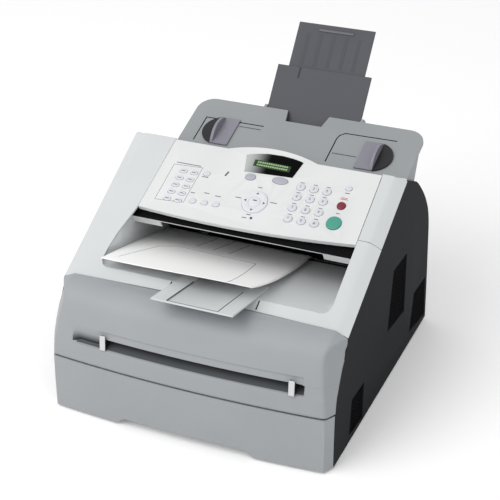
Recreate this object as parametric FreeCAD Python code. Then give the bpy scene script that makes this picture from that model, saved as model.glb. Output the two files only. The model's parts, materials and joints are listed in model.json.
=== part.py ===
"""Compact laser fax machine, built from separate pieces in millimetres.

X points right, Y to the back and Z up. The pieces are drawn from the front corners of the
cassette at floor level, and moved at the end so that the origin lies on the floor under the
middle of the whole machine.
"""
import FreeCAD, Part
import math
import os

V = FreeCAD.Vector

# Clearances and walls
WALL = 3.0
PLATE = 2.5
SEAM = 0.6
FIT = 0.3
RUN = 0.05
OVERLAP = 0.5

# Overall body
WIDTH = 374.0
HALF = WIDTH / 2
REAR_Y = 365.0
FOOT_HEIGHT = 4.0
FOOT_RADIUS = 9.0
SIDE_COVER = 3.0
SIDE_INNER = HALF - SIDE_COVER

# Bowed front, measured on the middle plane
BOW = 8.0
CORNER_CUT = V(-10.0, -18.0, 0.0)
CORNER_X = HALF + CORNER_CUT.x
CORNER_STEPS = 3.0
BOW_RADIUS = (CORNER_X ** 2 + BOW ** 2) / (2 * BOW)
BOW_AXIS_Y = BOW_RADIUS - BOW
BOW_SWEEP = math.degrees(math.asin(HALF / BOW_RADIUS)) + 0.5
FRONT_LIMIT = -60.0

# Cassette
CASSETTE_BOTTOM = 3.0
CASSETTE_TOP = 75.0
CASSETTE_FACE_DEPTH = 22.0
CASSETTE_LENGTH = 345.0
CASSETTE_HEIGHT = 57.0
CASSETTE_LEAN = 3.6
GRIP_HALF_WIDTH = 78.0
GRIP_HEIGHT = 9.0
GRIP_SLOPE = 18.0
GRIP_STEPS = 6

# Front cover profile on the middle plane, as (y, z)
COVER_BOTTOM = 77.6
COVER_TOP = 165.0
COVER_FOOT = (-4.3, COVER_BOTTOM)
COVER_LOW = (-3.0, 88.0)
COVER_BELLY = (2.5, 116.0)
COVER_SHOULDER = (14.0, 144.0)
COVER_BROW = (24.5, 157.0)
COVER_CROWN = (44.0, COVER_TOP)
COVER_BACK_Y = 78.0
COVER_HINGE_Y = 1.0
COVER_HINGE_Z = 83.2
COVER_PIN = 1.5
HINGE_ARM_X = 50.0
HINGE_ARM_HALF = 2.0
HINGE_ARM_RADIUS = 2.1
HINGE_EAR = 3.7

# Seam between the front cover and the top cover
TOP_SEAM_MID = 61.0
TOP_SEAM_END = 57.0

# Sloping top
TOP_Y = 59.2
TOP_Z = COVER_TOP - 1.3
TOP_ANGLE = 27.96
TOP_COS = math.cos(math.radians(TOP_ANGLE))
TOP_TAN = math.tan(math.radians(TOP_ANGLE))
TOP_FLAT_END = 256.0
TOP_END_Z = TOP_Z + TOP_TAN * (TOP_FLAT_END - TOP_Y)
TOP_REAR_Y = TOP_FLAT_END + 6.0
TOP_REAR_Z = TOP_END_Z - 18.2
TOP_REAR_BEND = (TOP_FLAT_END + 4.4, TOP_END_Z - 8.6)
BEVEL = 15.0
END_CAP_Y = 169.0

# Front edge of the side covers, as (y, z) from the floor up
SIDE_FRONT = [(14.0, CASSETTE_BOTTOM), (15.5, 40.0), (18.3, 77.0), (23.0, 97.0), (30.5, 112.0),
              (39.5, 127.0), (48.0, 138.5), (54.5, 149.0), (55.9, TOP_Z - 6.7)]
SIDE_APEX = (TOP_FLAT_END + 6.0, TOP_END_Z - 5.7)
SIDE_BOTTOM = CASSETTE_BOTTOM + 1.0

# Back of the machine, from the top down, as shares of its depth and height
REAR_DEPTH = REAR_Y - TOP_REAR_Y
REAR_TOP_Y = TOP_REAR_Y + 0.223 * REAR_DEPTH
REAR_TOP_FALL = 1.0
REAR_SHARES = [(0.369, 0.970), (0.460, 0.940), (0.544, 0.906), (0.630, 0.870), (0.709, 0.832),
               (0.785, 0.792), (0.850, 0.750), (0.902, 0.712), (0.937, 0.672), (0.962, 0.630),
               (0.975, 0.588), (0.992, 0.372), (1.0, 0.240)]
REAR_CURVE = [(TOP_REAR_Y + back * REAR_DEPTH, up * TOP_REAR_Z) for back, up in REAR_SHARES]
SIDE_BOSSES = [(100.0, 40.0), (100.0, 120.0), (REAR_Y - 45.0, 40.0), (REAR_Y - 45.0, 120.0)]
SIDE_BOSS_RADIUS = 5.0
LOUVRE_DEPTH = 1.2
LOUVRES = [[(270.0, 155.0), (219.0, 157.0), (201.0, 78.0), (267.0, 70.0)],
           [(REAR_Y - 9.0, 71.0), (REAR_Y - 57.0, 73.0), (REAR_Y - 72.0, 21.0),
            (REAR_Y - 7.0, 11.0)],
           [(116.0, 58.0), (74.0, 60.0), (66.0, 13.0), (112.0, 7.0)]]

# Output tray, its extension and the sheet
LEFT_STRIP = 45.0
RIGHT_STRIP = 30.0
TRAY_LEFT = -HALF + LEFT_STRIP
TRAY_RIGHT = HALF - RIGHT_STRIP
TRAY_FRONT_Y = 75.0
TRAY_REAR_Y = 226.0
TRAY_WALL_START = 84.0
TRAY_WALL_END = TOP_FLAT_END - 6.0
TRAY_WALL_FOOT = 128.0
OUTPUT_FALL = 0.21
EXTENSION_Y = 79.8
EXTENSION_Z = 173.7
EXTENSION_LEFT = -40.0
EXTENSION_RIGHT = 65.0
EXTENSION_FRONT = 8.4
EXTENSION_LENGTH = 105.0
EXTENSION_RIM = 20.0
EXTENSION_LIP = 2.0
SHEET_LEFT = TRAY_LEFT + 2.5
SHEET_WIDTH = 210.0
SHEET_FRONT = (62.0, 193.0)
SHEET_REAR = (240.0, 142.0)
SHEET_THICKNESS = 0.4
EXIT_ROLLER_Y = 236.0
EXIT_ROLLER_RADIUS = 6.0
EXIT_SHAFT = 3.0

# Control panel, measured on the sloping top as (x, distance up the slope)
PANEL_PLATE = 2.5
PANEL_DEPTH = 6.4
PANEL_FRONT_LEFT = (TRAY_LEFT + 9.0, 112.0)
PANEL_FRONT_MID = (12.0, 108.0)
PANEL_FRONT_RIGHT = (TRAY_RIGHT - SEAM, 117.0)
PANEL_REAR_U = 220.6
PANEL_REAR_LEFT_X = TRAY_LEFT + 17.5
BULGE_LEFT = -50.0
BULGE_RIGHT = 72.0
BULGE_U = 231.5
PANEL_HINGE_Y = TOP_FLAT_END - 2.0
PANEL_HINGE_Z = TOP_Z + TOP_TAN * (PANEL_HINGE_Y - TOP_Y) - 3.1
PANEL_PIN = 2.0
PANEL_PIN_LENGTH = 6.0
PANEL_KNUCKLE = 6.0
PANEL_KNUCKLE_DEPTH = 2.6
PANEL_BOARD = 1.6
PANEL_BOARD_INSET = (15.0, 6.0, 4.0)
PEG_X = (PANEL_FRONT_LEFT[0] + 23.0, PANEL_FRONT_RIGHT[0] - 16.4)
PEG_U = (125.0, 205.0)
KEY_GAP = 0.35
KEY_FLANGE = 0.8
KEY_LIP = 0.8
KEY_TRAVEL = 0.8
DOCUMENT_GAP = 4.6

# Keys as (x, y, half width, half depth, height above the panel)
DIAL_X = [63.0, 80.5, 97.5]
DIAL_Y = [220.5, 207.0, 192.5, 178.0]
DIAL_NAMES = ["1", "2", "3", "4", "5", "6", "7", "8", "9", "star", "0", "hash"]
DIAL_KEY = (5.6, 4.9, 1.4)
START_KEY = (120.8, 183.2, 9.5, 9.5, 1.6)
STOP_KEY = (121.7, 206.3, 5.5, 5.5, 1.6)
NAVIGATION_KEY = (13.4, 191.0, 16.5, 16.5, 1.2)
SOFT_KEYS = {"left": (-5.4, 222.0, 7.0, 5.0, 1.2), "right": (34.0, 223.8, 10.5, 5.2, 1.2)}
FUNCTION_KEYS = [(-65.8, 177.5, 4.8, 3.6, 1.0), (-50.0, 178.1, 4.8, 3.6, 1.0),
                 (-34.2, 178.6, 4.8, 3.6, 1.0), (-63.3, 215.8, 4.8, 3.6, 1.0),
                 (122.7, 229.7, 4.2, 3.4, 1.0)]
SPEED_ROWS = 5
SPEED_TOP = (-95.0, 213.8)
SPEED_BOTTOM = (-100.0, 174.7)
SPEED_SPACING = 14.8
SPEED_KEY = (5.4, 3.2, 0.8)
WINDOW = [(-22.5, 216.0), (5.4, 222.8), (54.0, 219.0), (47.7, 194.0), (-16.3, 191.0)]
WINDOW_RISE = 0.8
DISPLAY = (-17.0, 47.0, 198.0, 215.0)

# Lower document guide and scanner
BAR_U = 102.8
BAR_THICKNESS = 2.2
BAR_HEIGHT = 13.0
BAR_END = 40.0
GUIDE_RIB_START = 112.0
GUIDE_REAR_U = 222.0
GUIDE_SHOULDER_U = 208.0
GUIDE_PLATE = 2.0
GUIDE_RIB_DEPTH = 26.0
FEED_ROLLER_U = 184.0
GUIDE_RIB_END = FEED_ROLLER_U + 10.0
SENSOR = (TRAY_LEFT + 22.0, TRAY_RIGHT - 22.0, FEED_ROLLER_U - 40.0, FEED_ROLLER_U - 24.0)
SENSOR_DEPTH = 11.0
FEED_ROLLER_RADIUS = 7.6
FEED_ROLLER_RISE = 0.6
FEED_ROLLER_GAP = 1.0
FEED_ROLLER_SPAN = (-55.0, 70.0)
FEED_SHAFT = 3.0

# Document tray, its guides and the document support
SHELF_Y = TOP_FLAT_END
SHELF_Z = TOP_END_Z - 12.2
SHELF_ANGLE = 18.0
SHELF_COS = math.cos(math.radians(SHELF_ANGLE))
SHELF_TAN = math.tan(math.radians(SHELF_ANGLE))
SHELF_LEFT = -HALF + 57.0
SHELF_RIGHT = SIDE_INNER - SEAM
SHELF_FRONT = 7.0
SHELF_REAR = (REAR_Y - 15.0 - SHELF_Y) / SHELF_COS
SHELF_CORNER = 22.0
SHELF_PLATE = 3.0
NOTCH = [(-3.0, SHELF_REAR - 20.4), (46.6, SHELF_REAR - 20.4), (53.0, SHELF_REAR + 11.2),
         (-9.5, SHELF_REAR + 11.2)]
GROOVE = 1.6
GROOVE_DEPTH = 1.2
GROOVES = [[(-109.0, 18.0), (-109.0, 62.0), (-28.0, 62.0)],
           [(74.0, 20.0), (74.0, 62.0), (76.0, 69.0), (82.0, 74.0), (150.0, 75.0)]]
SLOTS = [[(-58.0, 55.0), (-29.0, 55.0)], [(78.0, 36.0), (109.0, 36.0)]]
PEDESTAL_BACK_Y = REAR_CURVE[0][0] + 16.0
PEDESTAL_WALL = 3.6
GUIDE_SPAN = (16.0, SHELF_REAR - 34.0)
GUIDE_BASE = 2.0
GUIDE_HEIGHT = 13.0
GUIDE_BLADE = 3.5
LEFT_GUIDE = (-61.0, -85.0, -104.0)
RIGHT_GUIDE = (113.0, 137.0, 156.0)
SUPPORT_Y = REAR_Y - 9.5
SUPPORT_Z = SHELF_Z + SHELF_TAN * (SUPPORT_Y - SHELF_Y) - FIT
SUPPORT_ANGLE = 50.0
SUPPORT_LEFT = -38.2
SUPPORT_RIGHT = 92.4
SUPPORT_LOW = -28.0
SUPPORT_HIGH = 56.5
SUPPORT_PLATE = 3.0
SUPPORT_CHEEK = 3.4
SUPPORT_CHEEK_RISE = 9.0
POCKET_LOW = -30.0
POCKET_BACK = (-30.0, -12.0)
POCKET_PLATE = 2.8
UPPER_LEFT = -24.5
UPPER_RIGHT = 82.0
UPPER_LOW = 14.0
UPPER_HIGH = 119.0
UPPER_PLATE = 2.3
PULL_LIP = (6.0, 54.0, 109.0, 112.0)
PULL_LIP_HEIGHT = 2.0

# Manual feed recess in the front cover, as (y, z) sections
FEED_HALF = HALF - 34.0
FEED_BOTTOM = 101.0
FEED_LIP = 114.75
FEED_TOP = 124.0
FEED_SETBACK = 1.4
FEED_BACK_Y = 26.0
RAMP_BACK_Z = 109.0
ROOF_BACK_Z = 118.0
FEED_GUIDE_Y = (0.5, 20.0)
FEED_FINGER = [(5.2, 120.5), (3.0, 120.5)]
FEED_FINGER_BACK = 3.7
FEED_GUIDES = {"left": (-FEED_HALF + 42.0, -FEED_HALF + 50.0),
               "right": (FEED_HALF - 18.0, FEED_HALF - 10.0)}

# Base frame
FRAME_OUTER = SIDE_INNER - 7.0
FRAME_INNER = FRAME_OUTER - 6.0
DECK_BOTTOM = 60.0
DECK_TOP = 64.0
DECK_FRONT = 72.0
FRAME_FRONT = 34.0
FRAME_BACK = REAR_Y - 9.0
FRAME_TOP = 140.0
LEDGE = 13.0
LEDGE_TOP = 8.0
POST_X = (FRAME_INNER - 9.0, FRAME_INNER - 3.0)

# Rollers and engine
ROLLER_SHAFT = 5.0
PICKUP_Y = 56.0
PICKUP_Z = 75.0
PICKUP_RADIUS = 12.0
PICKUP_HALF = 36.0
PICKUP_SHAFT = 3.0
HEAT_Y = REAR_Y - 65.0
HEAT_RADIUS = 13.0
NIP_GAP = 0.4
ROLLER_HALF = 115.0
DRUM_Y = 196.0
DRUM_Z = 86.0
DRUM_RADIUS = 12.0
DRUM_SHAFT = 4.0
DRUM_GAP = 1.0
CARTRIDGE = [(96.0, DECK_TOP), (214.0, DECK_TOP), (214.0, 120.0), (120.0, 128.0), (96.0, 110.0)]
CARTRIDGE_HALF = 120.0
DRUM_HALF = CARTRIDGE_HALF - 8.0
ENGINE_GAP = 5.0
LASER = (90.0, 222.0, HEAT_Y - 18.0, 128.0)
MOTOR = (HEAT_Y - 35.0, 90.0, 20.0, 21.0)
POST_Y = [(92.0, 102.0), (MOTOR[0] - 33.0, MOTOR[0] - 23.0)]
BOARD = (90.0, 240.0, 70.0, 134.0)
SUPPLY = (LASER[0] + ENGINE_GAP, FRAME_INNER - MOTOR[3] - ENGINE_GAP, 226.0, HEAT_Y - 18.0, 108.0)
SPEAKER = (-POST_X[0] + 21.0, HEAT_Y - 50.0, 20.0, 12.0)
LIFT_HALF = 110.0
LIFT_FRONT = 32.0
LIFT_HINGE_Y = 180.0
LIFT_Z = 14.5
LIFT_PIN = 1.5
LIFT_PLATE = 2.0
LIFT_BRACKET = 4.0

# Rear cover, sockets and screws
REAR_COVER_HALF = 119.5
REAR_COVER_LOW = 64.5
REAR_COVER_HIGH = 147.5
REAR_HINGE_Z = 66.5
REAR_HINGE_Y = REAR_Y - 1.7
REAR_PIN = 1.0
REAR_PIN_LENGTH = 5.0
INLET = (126.0, 154.0, 18.0, 42.0)
JACKS = [(-150.0, -134.0, 22.0, 38.0), (-126.0, -110.0, 22.0, 38.0)]
SOCKET_HOLLOW = 7.0
SOCKET_RIM = 2.5
SCREW_X = FRAME_INNER - 7.0
SCREW_Z = [16.0, 50.0]
SCREW_HEAD = 3.5
SCREW_HEAD_HEIGHT = 1.8
SCREW_SHANK = 1.5


def top_z(y):
    """Height of the sloping top at depth y."""
    return TOP_Z + TOP_TAN * (y - TOP_Y)


def up_slope(y):
    """Distance up the sloping top of a point at depth y."""
    return (y - TOP_Y) / TOP_COS


def bevel_z(y):
    """Height of the side edge below the bevel at depth y."""
    low = SIDE_FRONT[-1]
    return low[1] + (SIDE_APEX[1] - low[1]) * (y - low[0]) / (SIDE_APEX[0] - low[0])


def extension_z(y):
    """Height of the top of the output extension at depth y."""
    return EXTENSION_Z - OUTPUT_FALL * (y - EXTENSION_Y)


def tray_z(y):
    """Height of the output tray's floor at depth y."""
    return extension_z(y) - PLATE - FIT


def tilted(y, z, angle):
    """Placement whose local y climbs to the back at the angle, with local z along the normal."""
    return FreeCAD.Placement(V(0, y, z), FreeCAD.Rotation(V(1, 0, 0), angle))


ON_TOP = tilted(TOP_Y, TOP_Z, TOP_ANGLE)
ON_SHELF = tilted(SHELF_Y, SHELF_Z, SHELF_ANGLE)
ON_SUPPORT = tilted(SUPPORT_Y, SUPPORT_Z, SUPPORT_ANGLE)


def placed(shape, placement):
    """A copy of the shape moved into a tilted frame."""
    moved = shape.copy()
    moved.Placement = placement.multiply(moved.Placement)
    return moved


def moved_by(shape, x, y, z):
    """A copy of the shape moved by a distance along each axis."""
    copy = shape.copy()
    copy.translate(V(x, y, z))
    return copy


def mirrored(shape):
    """The shape on the other side of the middle plane."""
    return shape.mirror(V(0, 0, 0), V(1, 0, 0))


def box(x0, x1, y0, y1, z0, z1):
    """Box between two corners."""
    return Part.makeBox(x1 - x0, y1 - y0, z1 - z0, V(x0, y0, z0))


def prism_x(points, x0, x1):
    """Closed outline of (y, z) points carried from x0 to x1."""
    corners = [V(x0, y, z) for y, z in points]
    return Part.Face(Part.makePolygon(corners + corners[:1])).extrude(V(x1 - x0, 0, 0))


def prism_z(points, z0, z1):
    """Closed outline of (x, y) points carried from z0 to z1."""
    corners = [V(x, y, z0) for x, y in points]
    return Part.Face(Part.makePolygon(corners + corners[:1])).extrude(V(0, 0, z1 - z0))


def rod_x(y, z, radius, x0, x1):
    """Round bar along X."""
    return Part.makeCylinder(radius, x1 - x0, V(x0, y, z), V(1, 0, 0))


def line(a, b):
    """Straight edge on the middle plane between (y, z) points."""
    return Part.makeLine(V(0, a[0], a[1]), V(0, b[0], b[1]))


def arc(a, b, c):
    """Arc on the middle plane through three (y, z) points."""
    return Part.Arc(V(0, a[0], a[1]), V(0, b[0], b[1]), V(0, c[0], c[1])).toShape()


def fused(first, *others):
    """One solid from several that meet."""
    return first.fuse(list(others)).removeSplitter()


def swept_bow(edges):
    """Solid made by carrying a middle-plane outline round the bow of the front."""
    face = Part.Face(Part.Wire(edges))
    axis = V(0, BOW_AXIS_Y, 0)
    face.rotate(axis, V(0, 0, 1), -BOW_SWEEP)
    return face.revolve(axis, V(0, 0, 1), 2 * BOW_SWEEP)


def corner_cuts(inset):
    """Oblique prisms in front of the slanted corner faces, moved in by the inset."""
    top = SIDE_FRONT[-1]
    outline = [(SIDE_FRONT[0][0], -OVERLAP)] + SIDE_FRONT[1:] + [(top[0], 2 * COVER_TOP)]
    outline = outline + [(FRONT_LIMIT, 2 * COVER_TOP), (FRONT_LIMIT, -OVERLAP)]
    corners = [V(HALF - inset, y, z) for y, z in outline]
    face = Part.Face(Part.makePolygon(corners + corners[:1]))
    right = face.extrude(CORNER_CUT * CORNER_STEPS)
    outside = box(HALF - inset, 2 * HALF, FRONT_LIMIT, REAR_Y, -OVERLAP, 2 * COVER_TOP)
    right = right.fuse(outside)
    return right.fuse(mirrored(right))


def side_zone(gap):
    """Space of both side covers, grown by a gap, that the front and top pieces stay out of."""
    low = SIDE_FRONT[-1]
    outline = [(y - gap, z) for y, z in SIDE_FRONT] + [(low[0] - gap, low[1] + gap)]
    outline = outline + [(SIDE_APEX[0], SIDE_APEX[1] + gap), (REAR_Y, SIDE_APEX[1]),
                         (REAR_Y, -OVERLAP)]
    outline = [(SIDE_FRONT[0][0] - gap, -OVERLAP)] + outline
    right = prism_x(outline, SIDE_INNER - gap, HALF + WALL)
    return right.fuse(mirrored(right))


def behind_top_seam(shift):
    """Space behind the curved seam between the front cover and the top cover."""
    end = TOP_SEAM_END + shift
    middle = TOP_SEAM_MID + shift
    left = V(-HALF - WALL, end, 0)
    right = V(HALF + WALL, end, 0)
    far = 2 * REAR_Y
    edges = [Part.Arc(left, V(0, middle, 0), right).toShape(),
             Part.makeLine(right, V(right.x, far, 0)),
             Part.makeLine(V(right.x, far, 0), V(left.x, far, 0)),
             Part.makeLine(V(left.x, far, 0), left)]
    return Part.Face(Part.Wire(edges)).extrude(V(0, 0, 2 * REAR_Y))


def cover_solid():
    """Space under the front cover's outer skin."""
    back_top = (COVER_BACK_Y, COVER_TOP)
    back_low = (COVER_BACK_Y, COVER_BOTTOM)
    return swept_bow([line(COVER_FOOT, COVER_LOW), arc(COVER_LOW, COVER_BELLY, COVER_SHOULDER),
                      arc(COVER_SHOULDER, COVER_BROW, COVER_CROWN), line(COVER_CROWN, back_top),
                      line(back_top, back_low), line(back_low, COVER_FOOT)])


def feed_ramp_z(y):
    """Height of the manual feed ramp at depth y."""
    return FEED_BOTTOM + (RAMP_BACK_Z - FEED_BOTTOM) * y / FEED_BACK_Y


def feed_roof_z(y):
    """Height of the manual feed roof at depth y."""
    return FEED_LIP + (ROOF_BACK_Z - FEED_LIP) * y / FEED_BACK_Y


def front_cover():
    """Bowed shell above the cassette, with the manual feed recess and its hinge ears."""
    outer = cover_solid().cut(corner_cuts(0)).cut(side_zone(SEAM))
    inner = moved_by(cover_solid(), 0, WALL, -WALL).cut(corner_cuts(WALL + OVERLAP))
    shell = outer.cut(inner)
    mouth = prism_x([(FRONT_LIMIT, FEED_BOTTOM), (0, FEED_BOTTOM), (FEED_BACK_Y, RAMP_BACK_Z),
                     (FEED_BACK_Y, ROOF_BACK_Z), (0, FEED_LIP), (FRONT_LIMIT, FEED_LIP)],
                    -FEED_HALF, FEED_HALF)
    band = box(-FEED_HALF, FEED_HALF, FRONT_LIMIT, FEED_BACK_Y, FEED_BOTTOM, FEED_TOP)
    band = band.cut(moved_by(cover_solid(), 0, FEED_SETBACK, 0))
    side = FEED_HALF + WALL
    pocket = prism_x([(-BOW, FEED_BOTTOM - WALL), (FEED_BACK_Y, RAMP_BACK_Z - WALL),
                      (FEED_BACK_Y, ROOF_BACK_Z + WALL), (-BOW, FEED_TOP + WALL)], -side, side)
    ears = []
    for sign in (-1, 1):
        middle = sign * HINGE_ARM_X
        reach = HINGE_ARM_HALF + FIT
        room = HINGE_ARM_RADIUS + FIT
        shell = shell.cut(box(middle - reach, middle + reach, COVER_HINGE_Y - room, COVER_HINGE_Y,
                              COVER_BOTTOM - OVERLAP, COVER_HINGE_Z + room))
        for start in (middle - reach - HINGE_EAR, middle + reach):
            ears.append(box(start, start + HINGE_EAR, -BOW, COVER_HINGE_Y + HINGE_ARM_RADIUS,
                            COVER_HINGE_Z - HINGE_EAR, COVER_HINGE_Z + HINGE_EAR).common(outer))
        ears.append(rod_x(COVER_HINGE_Y, COVER_HINGE_Z, COVER_PIN,
                          middle - reach - HINGE_EAR, middle + reach + HINGE_EAR))
    shell = fused(shell, pocket.common(outer), *ears).cut(mouth).cut(band)
    return shell.cut(behind_top_seam(-SEAM / 2))


def manual_guide(name):
    """Paper guide that slides on the manual feed ramp."""
    x0, x1 = FEED_GUIDES[name]
    front, back = FEED_GUIDE_Y
    heel = FEED_FINGER_BACK
    return prism_x([(front, feed_ramp_z(front) + FIT), (back, feed_ramp_z(back) + FIT),
                    (back, feed_roof_z(back) - FIT), (heel, feed_roof_z(heel) - FIT)] + FEED_FINGER,
                   x0, x1)


def paper_cassette():
    """Drawer with the bowed front panel, its finger cut-out and the lift plate's brackets."""
    foot = (-BOW, CASSETTE_BOTTOM)
    head = (-BOW + CASSETTE_LEAN, CASSETTE_TOP)
    back_top = (CASSETTE_FACE_DEPTH, CASSETTE_TOP)
    back_low = (CASSETTE_FACE_DEPTH, CASSETTE_BOTTOM)
    outline = [line(foot, head), line(head, back_top), line(back_top, back_low), line(back_low, foot)]
    outer = swept_bow(outline).cut(corner_cuts(0)).cut(side_zone(SEAM))
    inner = moved_by(swept_bow(outline), 0, WALL, WALL).cut(corner_cuts(WALL + OVERLAP))
    face = outer.cut(inner)
    curve = []
    for step in range(GRIP_STEPS + 1):
        share = step / GRIP_STEPS
        curve.append((GRIP_HALF_WIDTH + GRIP_SLOPE * (1 - share),
                      GRIP_HEIGHT * (1 - math.cos(math.pi * share)) / 2))
    grip = prism_z(curve + [(-x, height) for x, height in curve[::-1]],
                   -2 * CASSETTE_FACE_DEPTH, 2 * BOW)
    grip.rotate(V(0, 0, 0), V(1, 0, 0), 90)
    grip.translate(V(0, 0, CASSETTE_BOTTOM - OVERLAP))
    half = FRAME_INNER - 2 * FIT
    floor_z = LEDGE_TOP + FIT
    wall_front = CASSETTE_FACE_DEPTH - PLATE
    body = box(-half, half, wall_front, CASSETTE_LENGTH, floor_z, CASSETTE_HEIGHT)
    hollow = box(-half + PLATE, half - PLATE, wall_front + PLATE, CASSETTE_LENGTH - PLATE,
                 floor_z + PLATE, CASSETTE_HEIGHT + WALL)
    apron = box(-half, half, -BOW, CASSETTE_FACE_DEPTH, GRIP_HEIGHT + CASSETTE_BOTTOM,
                GRIP_HEIGHT + CASSETTE_BOTTOM + PLATE).common(outer)
    brackets = []
    for sign in (-1, 1):
        near = sign * (LIFT_HALF + FIT)
        far = near + sign * LIFT_BRACKET
        block = box(min(near, far), max(near, far), LIFT_HINGE_Y - LIFT_BRACKET,
                    LIFT_HINGE_Y + LIFT_BRACKET, floor_z + PLATE - OVERLAP, LIFT_Z + LIFT_BRACKET)
        brackets.append(block.cut(rod_x(LIFT_HINGE_Y, LIFT_Z, LIFT_PIN + RUN, -HALF, HALF)))
    return fused(face.cut(grip), body.cut(hollow), apron, *brackets)


def cassette_lift_plate():
    """Plate that lifts the paper to the pick-up roller."""
    reach = LIFT_HALF + FIT + LIFT_BRACKET
    plate = box(-LIFT_HALF, LIFT_HALF, LIFT_FRONT, LIFT_HINGE_Y, LIFT_Z - LIFT_PLATE / 2,
                LIFT_Z + LIFT_PLATE / 2)
    return fused(plate, rod_x(LIFT_HINGE_Y, LIFT_Z, LIFT_PIN, -reach, reach))


def side_cover():
    """Right side cover: plate with the louvre recesses and the bosses that seat it on the frame."""
    outline = SIDE_FRONT + [SIDE_APEX] + REAR_CURVE + [(REAR_Y, SIDE_BOTTOM)]
    plate = prism_x(outline, SIDE_INNER, HALF)
    for corners in LOUVRES:
        plate = plate.cut(prism_x(corners, HALF - LOUVRE_DEPTH, HALF + WALL))
    bosses = [rod_x(y, z, SIDE_BOSS_RADIUS, FRAME_OUTER, SIDE_INNER) for y, z in SIDE_BOSSES]
    return fused(plate, *bosses)


def top_solid(drop, inset):
    """Space under the sloping top and its side bevels, lowered by drop and narrowed by inset."""
    start = TOP_SEAM_END - WALL
    low = TOP_Z - 2 * BEVEL
    edge = HALF - inset
    rear = (TOP_REAR_Y - inset, TOP_REAR_Z)
    bend = (TOP_REAR_BEND[0] - inset, TOP_REAR_BEND[1] - drop)
    first = (start, top_z(start) - drop)
    flat_end = (TOP_FLAT_END - inset, top_z(TOP_FLAT_END) - drop)
    edges = [line((start, low), first), line(first, flat_end), arc(flat_end, bend, rear),
             line(rear, (rear[0], low)), line((rear[0], low), (start, low))]
    solid = Part.Face(Part.Wire(edges)).extrude(V(edge, 0, 0))
    sections = []
    for y in (start - OVERLAP, TOP_REAR_Y + OVERLAP):
        high = top_z(y) - drop
        side = bevel_z(y) - drop
        corners = [V(edge - BEVEL, y, high), V(edge, y, side), V(edge + WALL, y, side),
                   V(edge + WALL, y, high + BEVEL), V(edge - BEVEL, y, high + BEVEL)]
        sections.append(Part.makePolygon(corners + corners[:1]))
    solid = solid.cut(Part.makeLoft(sections, True, True))
    return solid.fuse(mirrored(solid)).removeSplitter()


def top_shell():
    """Sloping top skin with its bevels, over the whole width."""
    shell = top_solid(0, 0).cut(top_solid(WALL / TOP_COS, WALL)).cut(side_zone(SEAM))
    flap = box(-HALF, HALF, TOP_FLAT_END - WALL, REAR_Y, 0, TOP_REAR_Z)
    return shell.common(behind_top_seam(SEAM / 2)).cut(flap)


def top_opening():
    """Space of the output tray and the control panel in the top."""
    front = TRAY_FRONT_Y - FIT
    outline = [(TRAY_LEFT, front), (TRAY_RIGHT, front), (TRAY_RIGHT, REAR_Y),
               (PANEL_REAR_LEFT_X - SEAM, REAR_Y), (PANEL_REAR_LEFT_X - SEAM, PANEL_HINGE_Y),
               (PANEL_FRONT_LEFT[0] - SEAM, END_CAP_Y - BEVEL), (TRAY_LEFT, END_CAP_Y - BEVEL)]
    return prism_z(outline, 0, REAR_Y)


def hinge_boss(x0, x1):
    """Bored block under the top skin that carries one of the panel's pins."""
    u, n = panel_hinge()
    reach = 2 * PANEL_PIN
    block = box(x0, x1, u - reach, u + reach, n - reach, -WALL / 2)
    return placed(block, ON_TOP).cut(panel_bore())


def panel_hinge():
    """Place of the panel's hinge on the sloping top, as (distance up the slope, height)."""
    local = ON_TOP.inverse().multVec(V(0, PANEL_HINGE_Y, PANEL_HINGE_Z))
    return local.y, local.z


def panel_bore():
    """Bore for the panel's pins."""
    return rod_x(PANEL_HINGE_Y, PANEL_HINGE_Z, PANEL_PIN + RUN, -HALF, HALF)


def end_cap_zone(gap):
    """Space of the upper unit's right end."""
    return box(TRAY_RIGHT - OVERLAP, HALF + WALL, END_CAP_Y - gap, REAR_Y, 0, REAR_Y)


def top_cover():
    """Top shell with the side strips round the output tray and the control panel."""
    shell = top_shell().cut(top_opening()).cut(end_cap_zone(SEAM))
    edge = PANEL_REAR_LEFT_X - SEAM
    return fused(shell.cut(panel_bore()), hinge_boss(edge - PANEL_PIN_LENGTH - WALL, edge))


def upper_end_cap():
    """Right end of the upper unit, beside the control panel."""
    shell = top_shell().cut(top_opening()).common(end_cap_zone(0))
    return fused(shell.cut(panel_bore()), hinge_boss(TRAY_RIGHT, TRAY_RIGHT + PANEL_PIN_LENGTH + WALL))


def exit_roller_z():
    """Height of the exit roller's axis, so that its top meets the sheet."""
    rise = (SHEET_FRONT[1] - SHEET_REAR[1]) / (SHEET_REAR[0] - SHEET_FRONT[0])
    sheet = SHEET_REAR[1] + rise * (SHEET_REAR[0] - EXIT_ROLLER_Y)
    return sheet - (EXIT_ROLLER_RADIUS + FIT) * math.sqrt(1 + rise ** 2)


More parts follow.
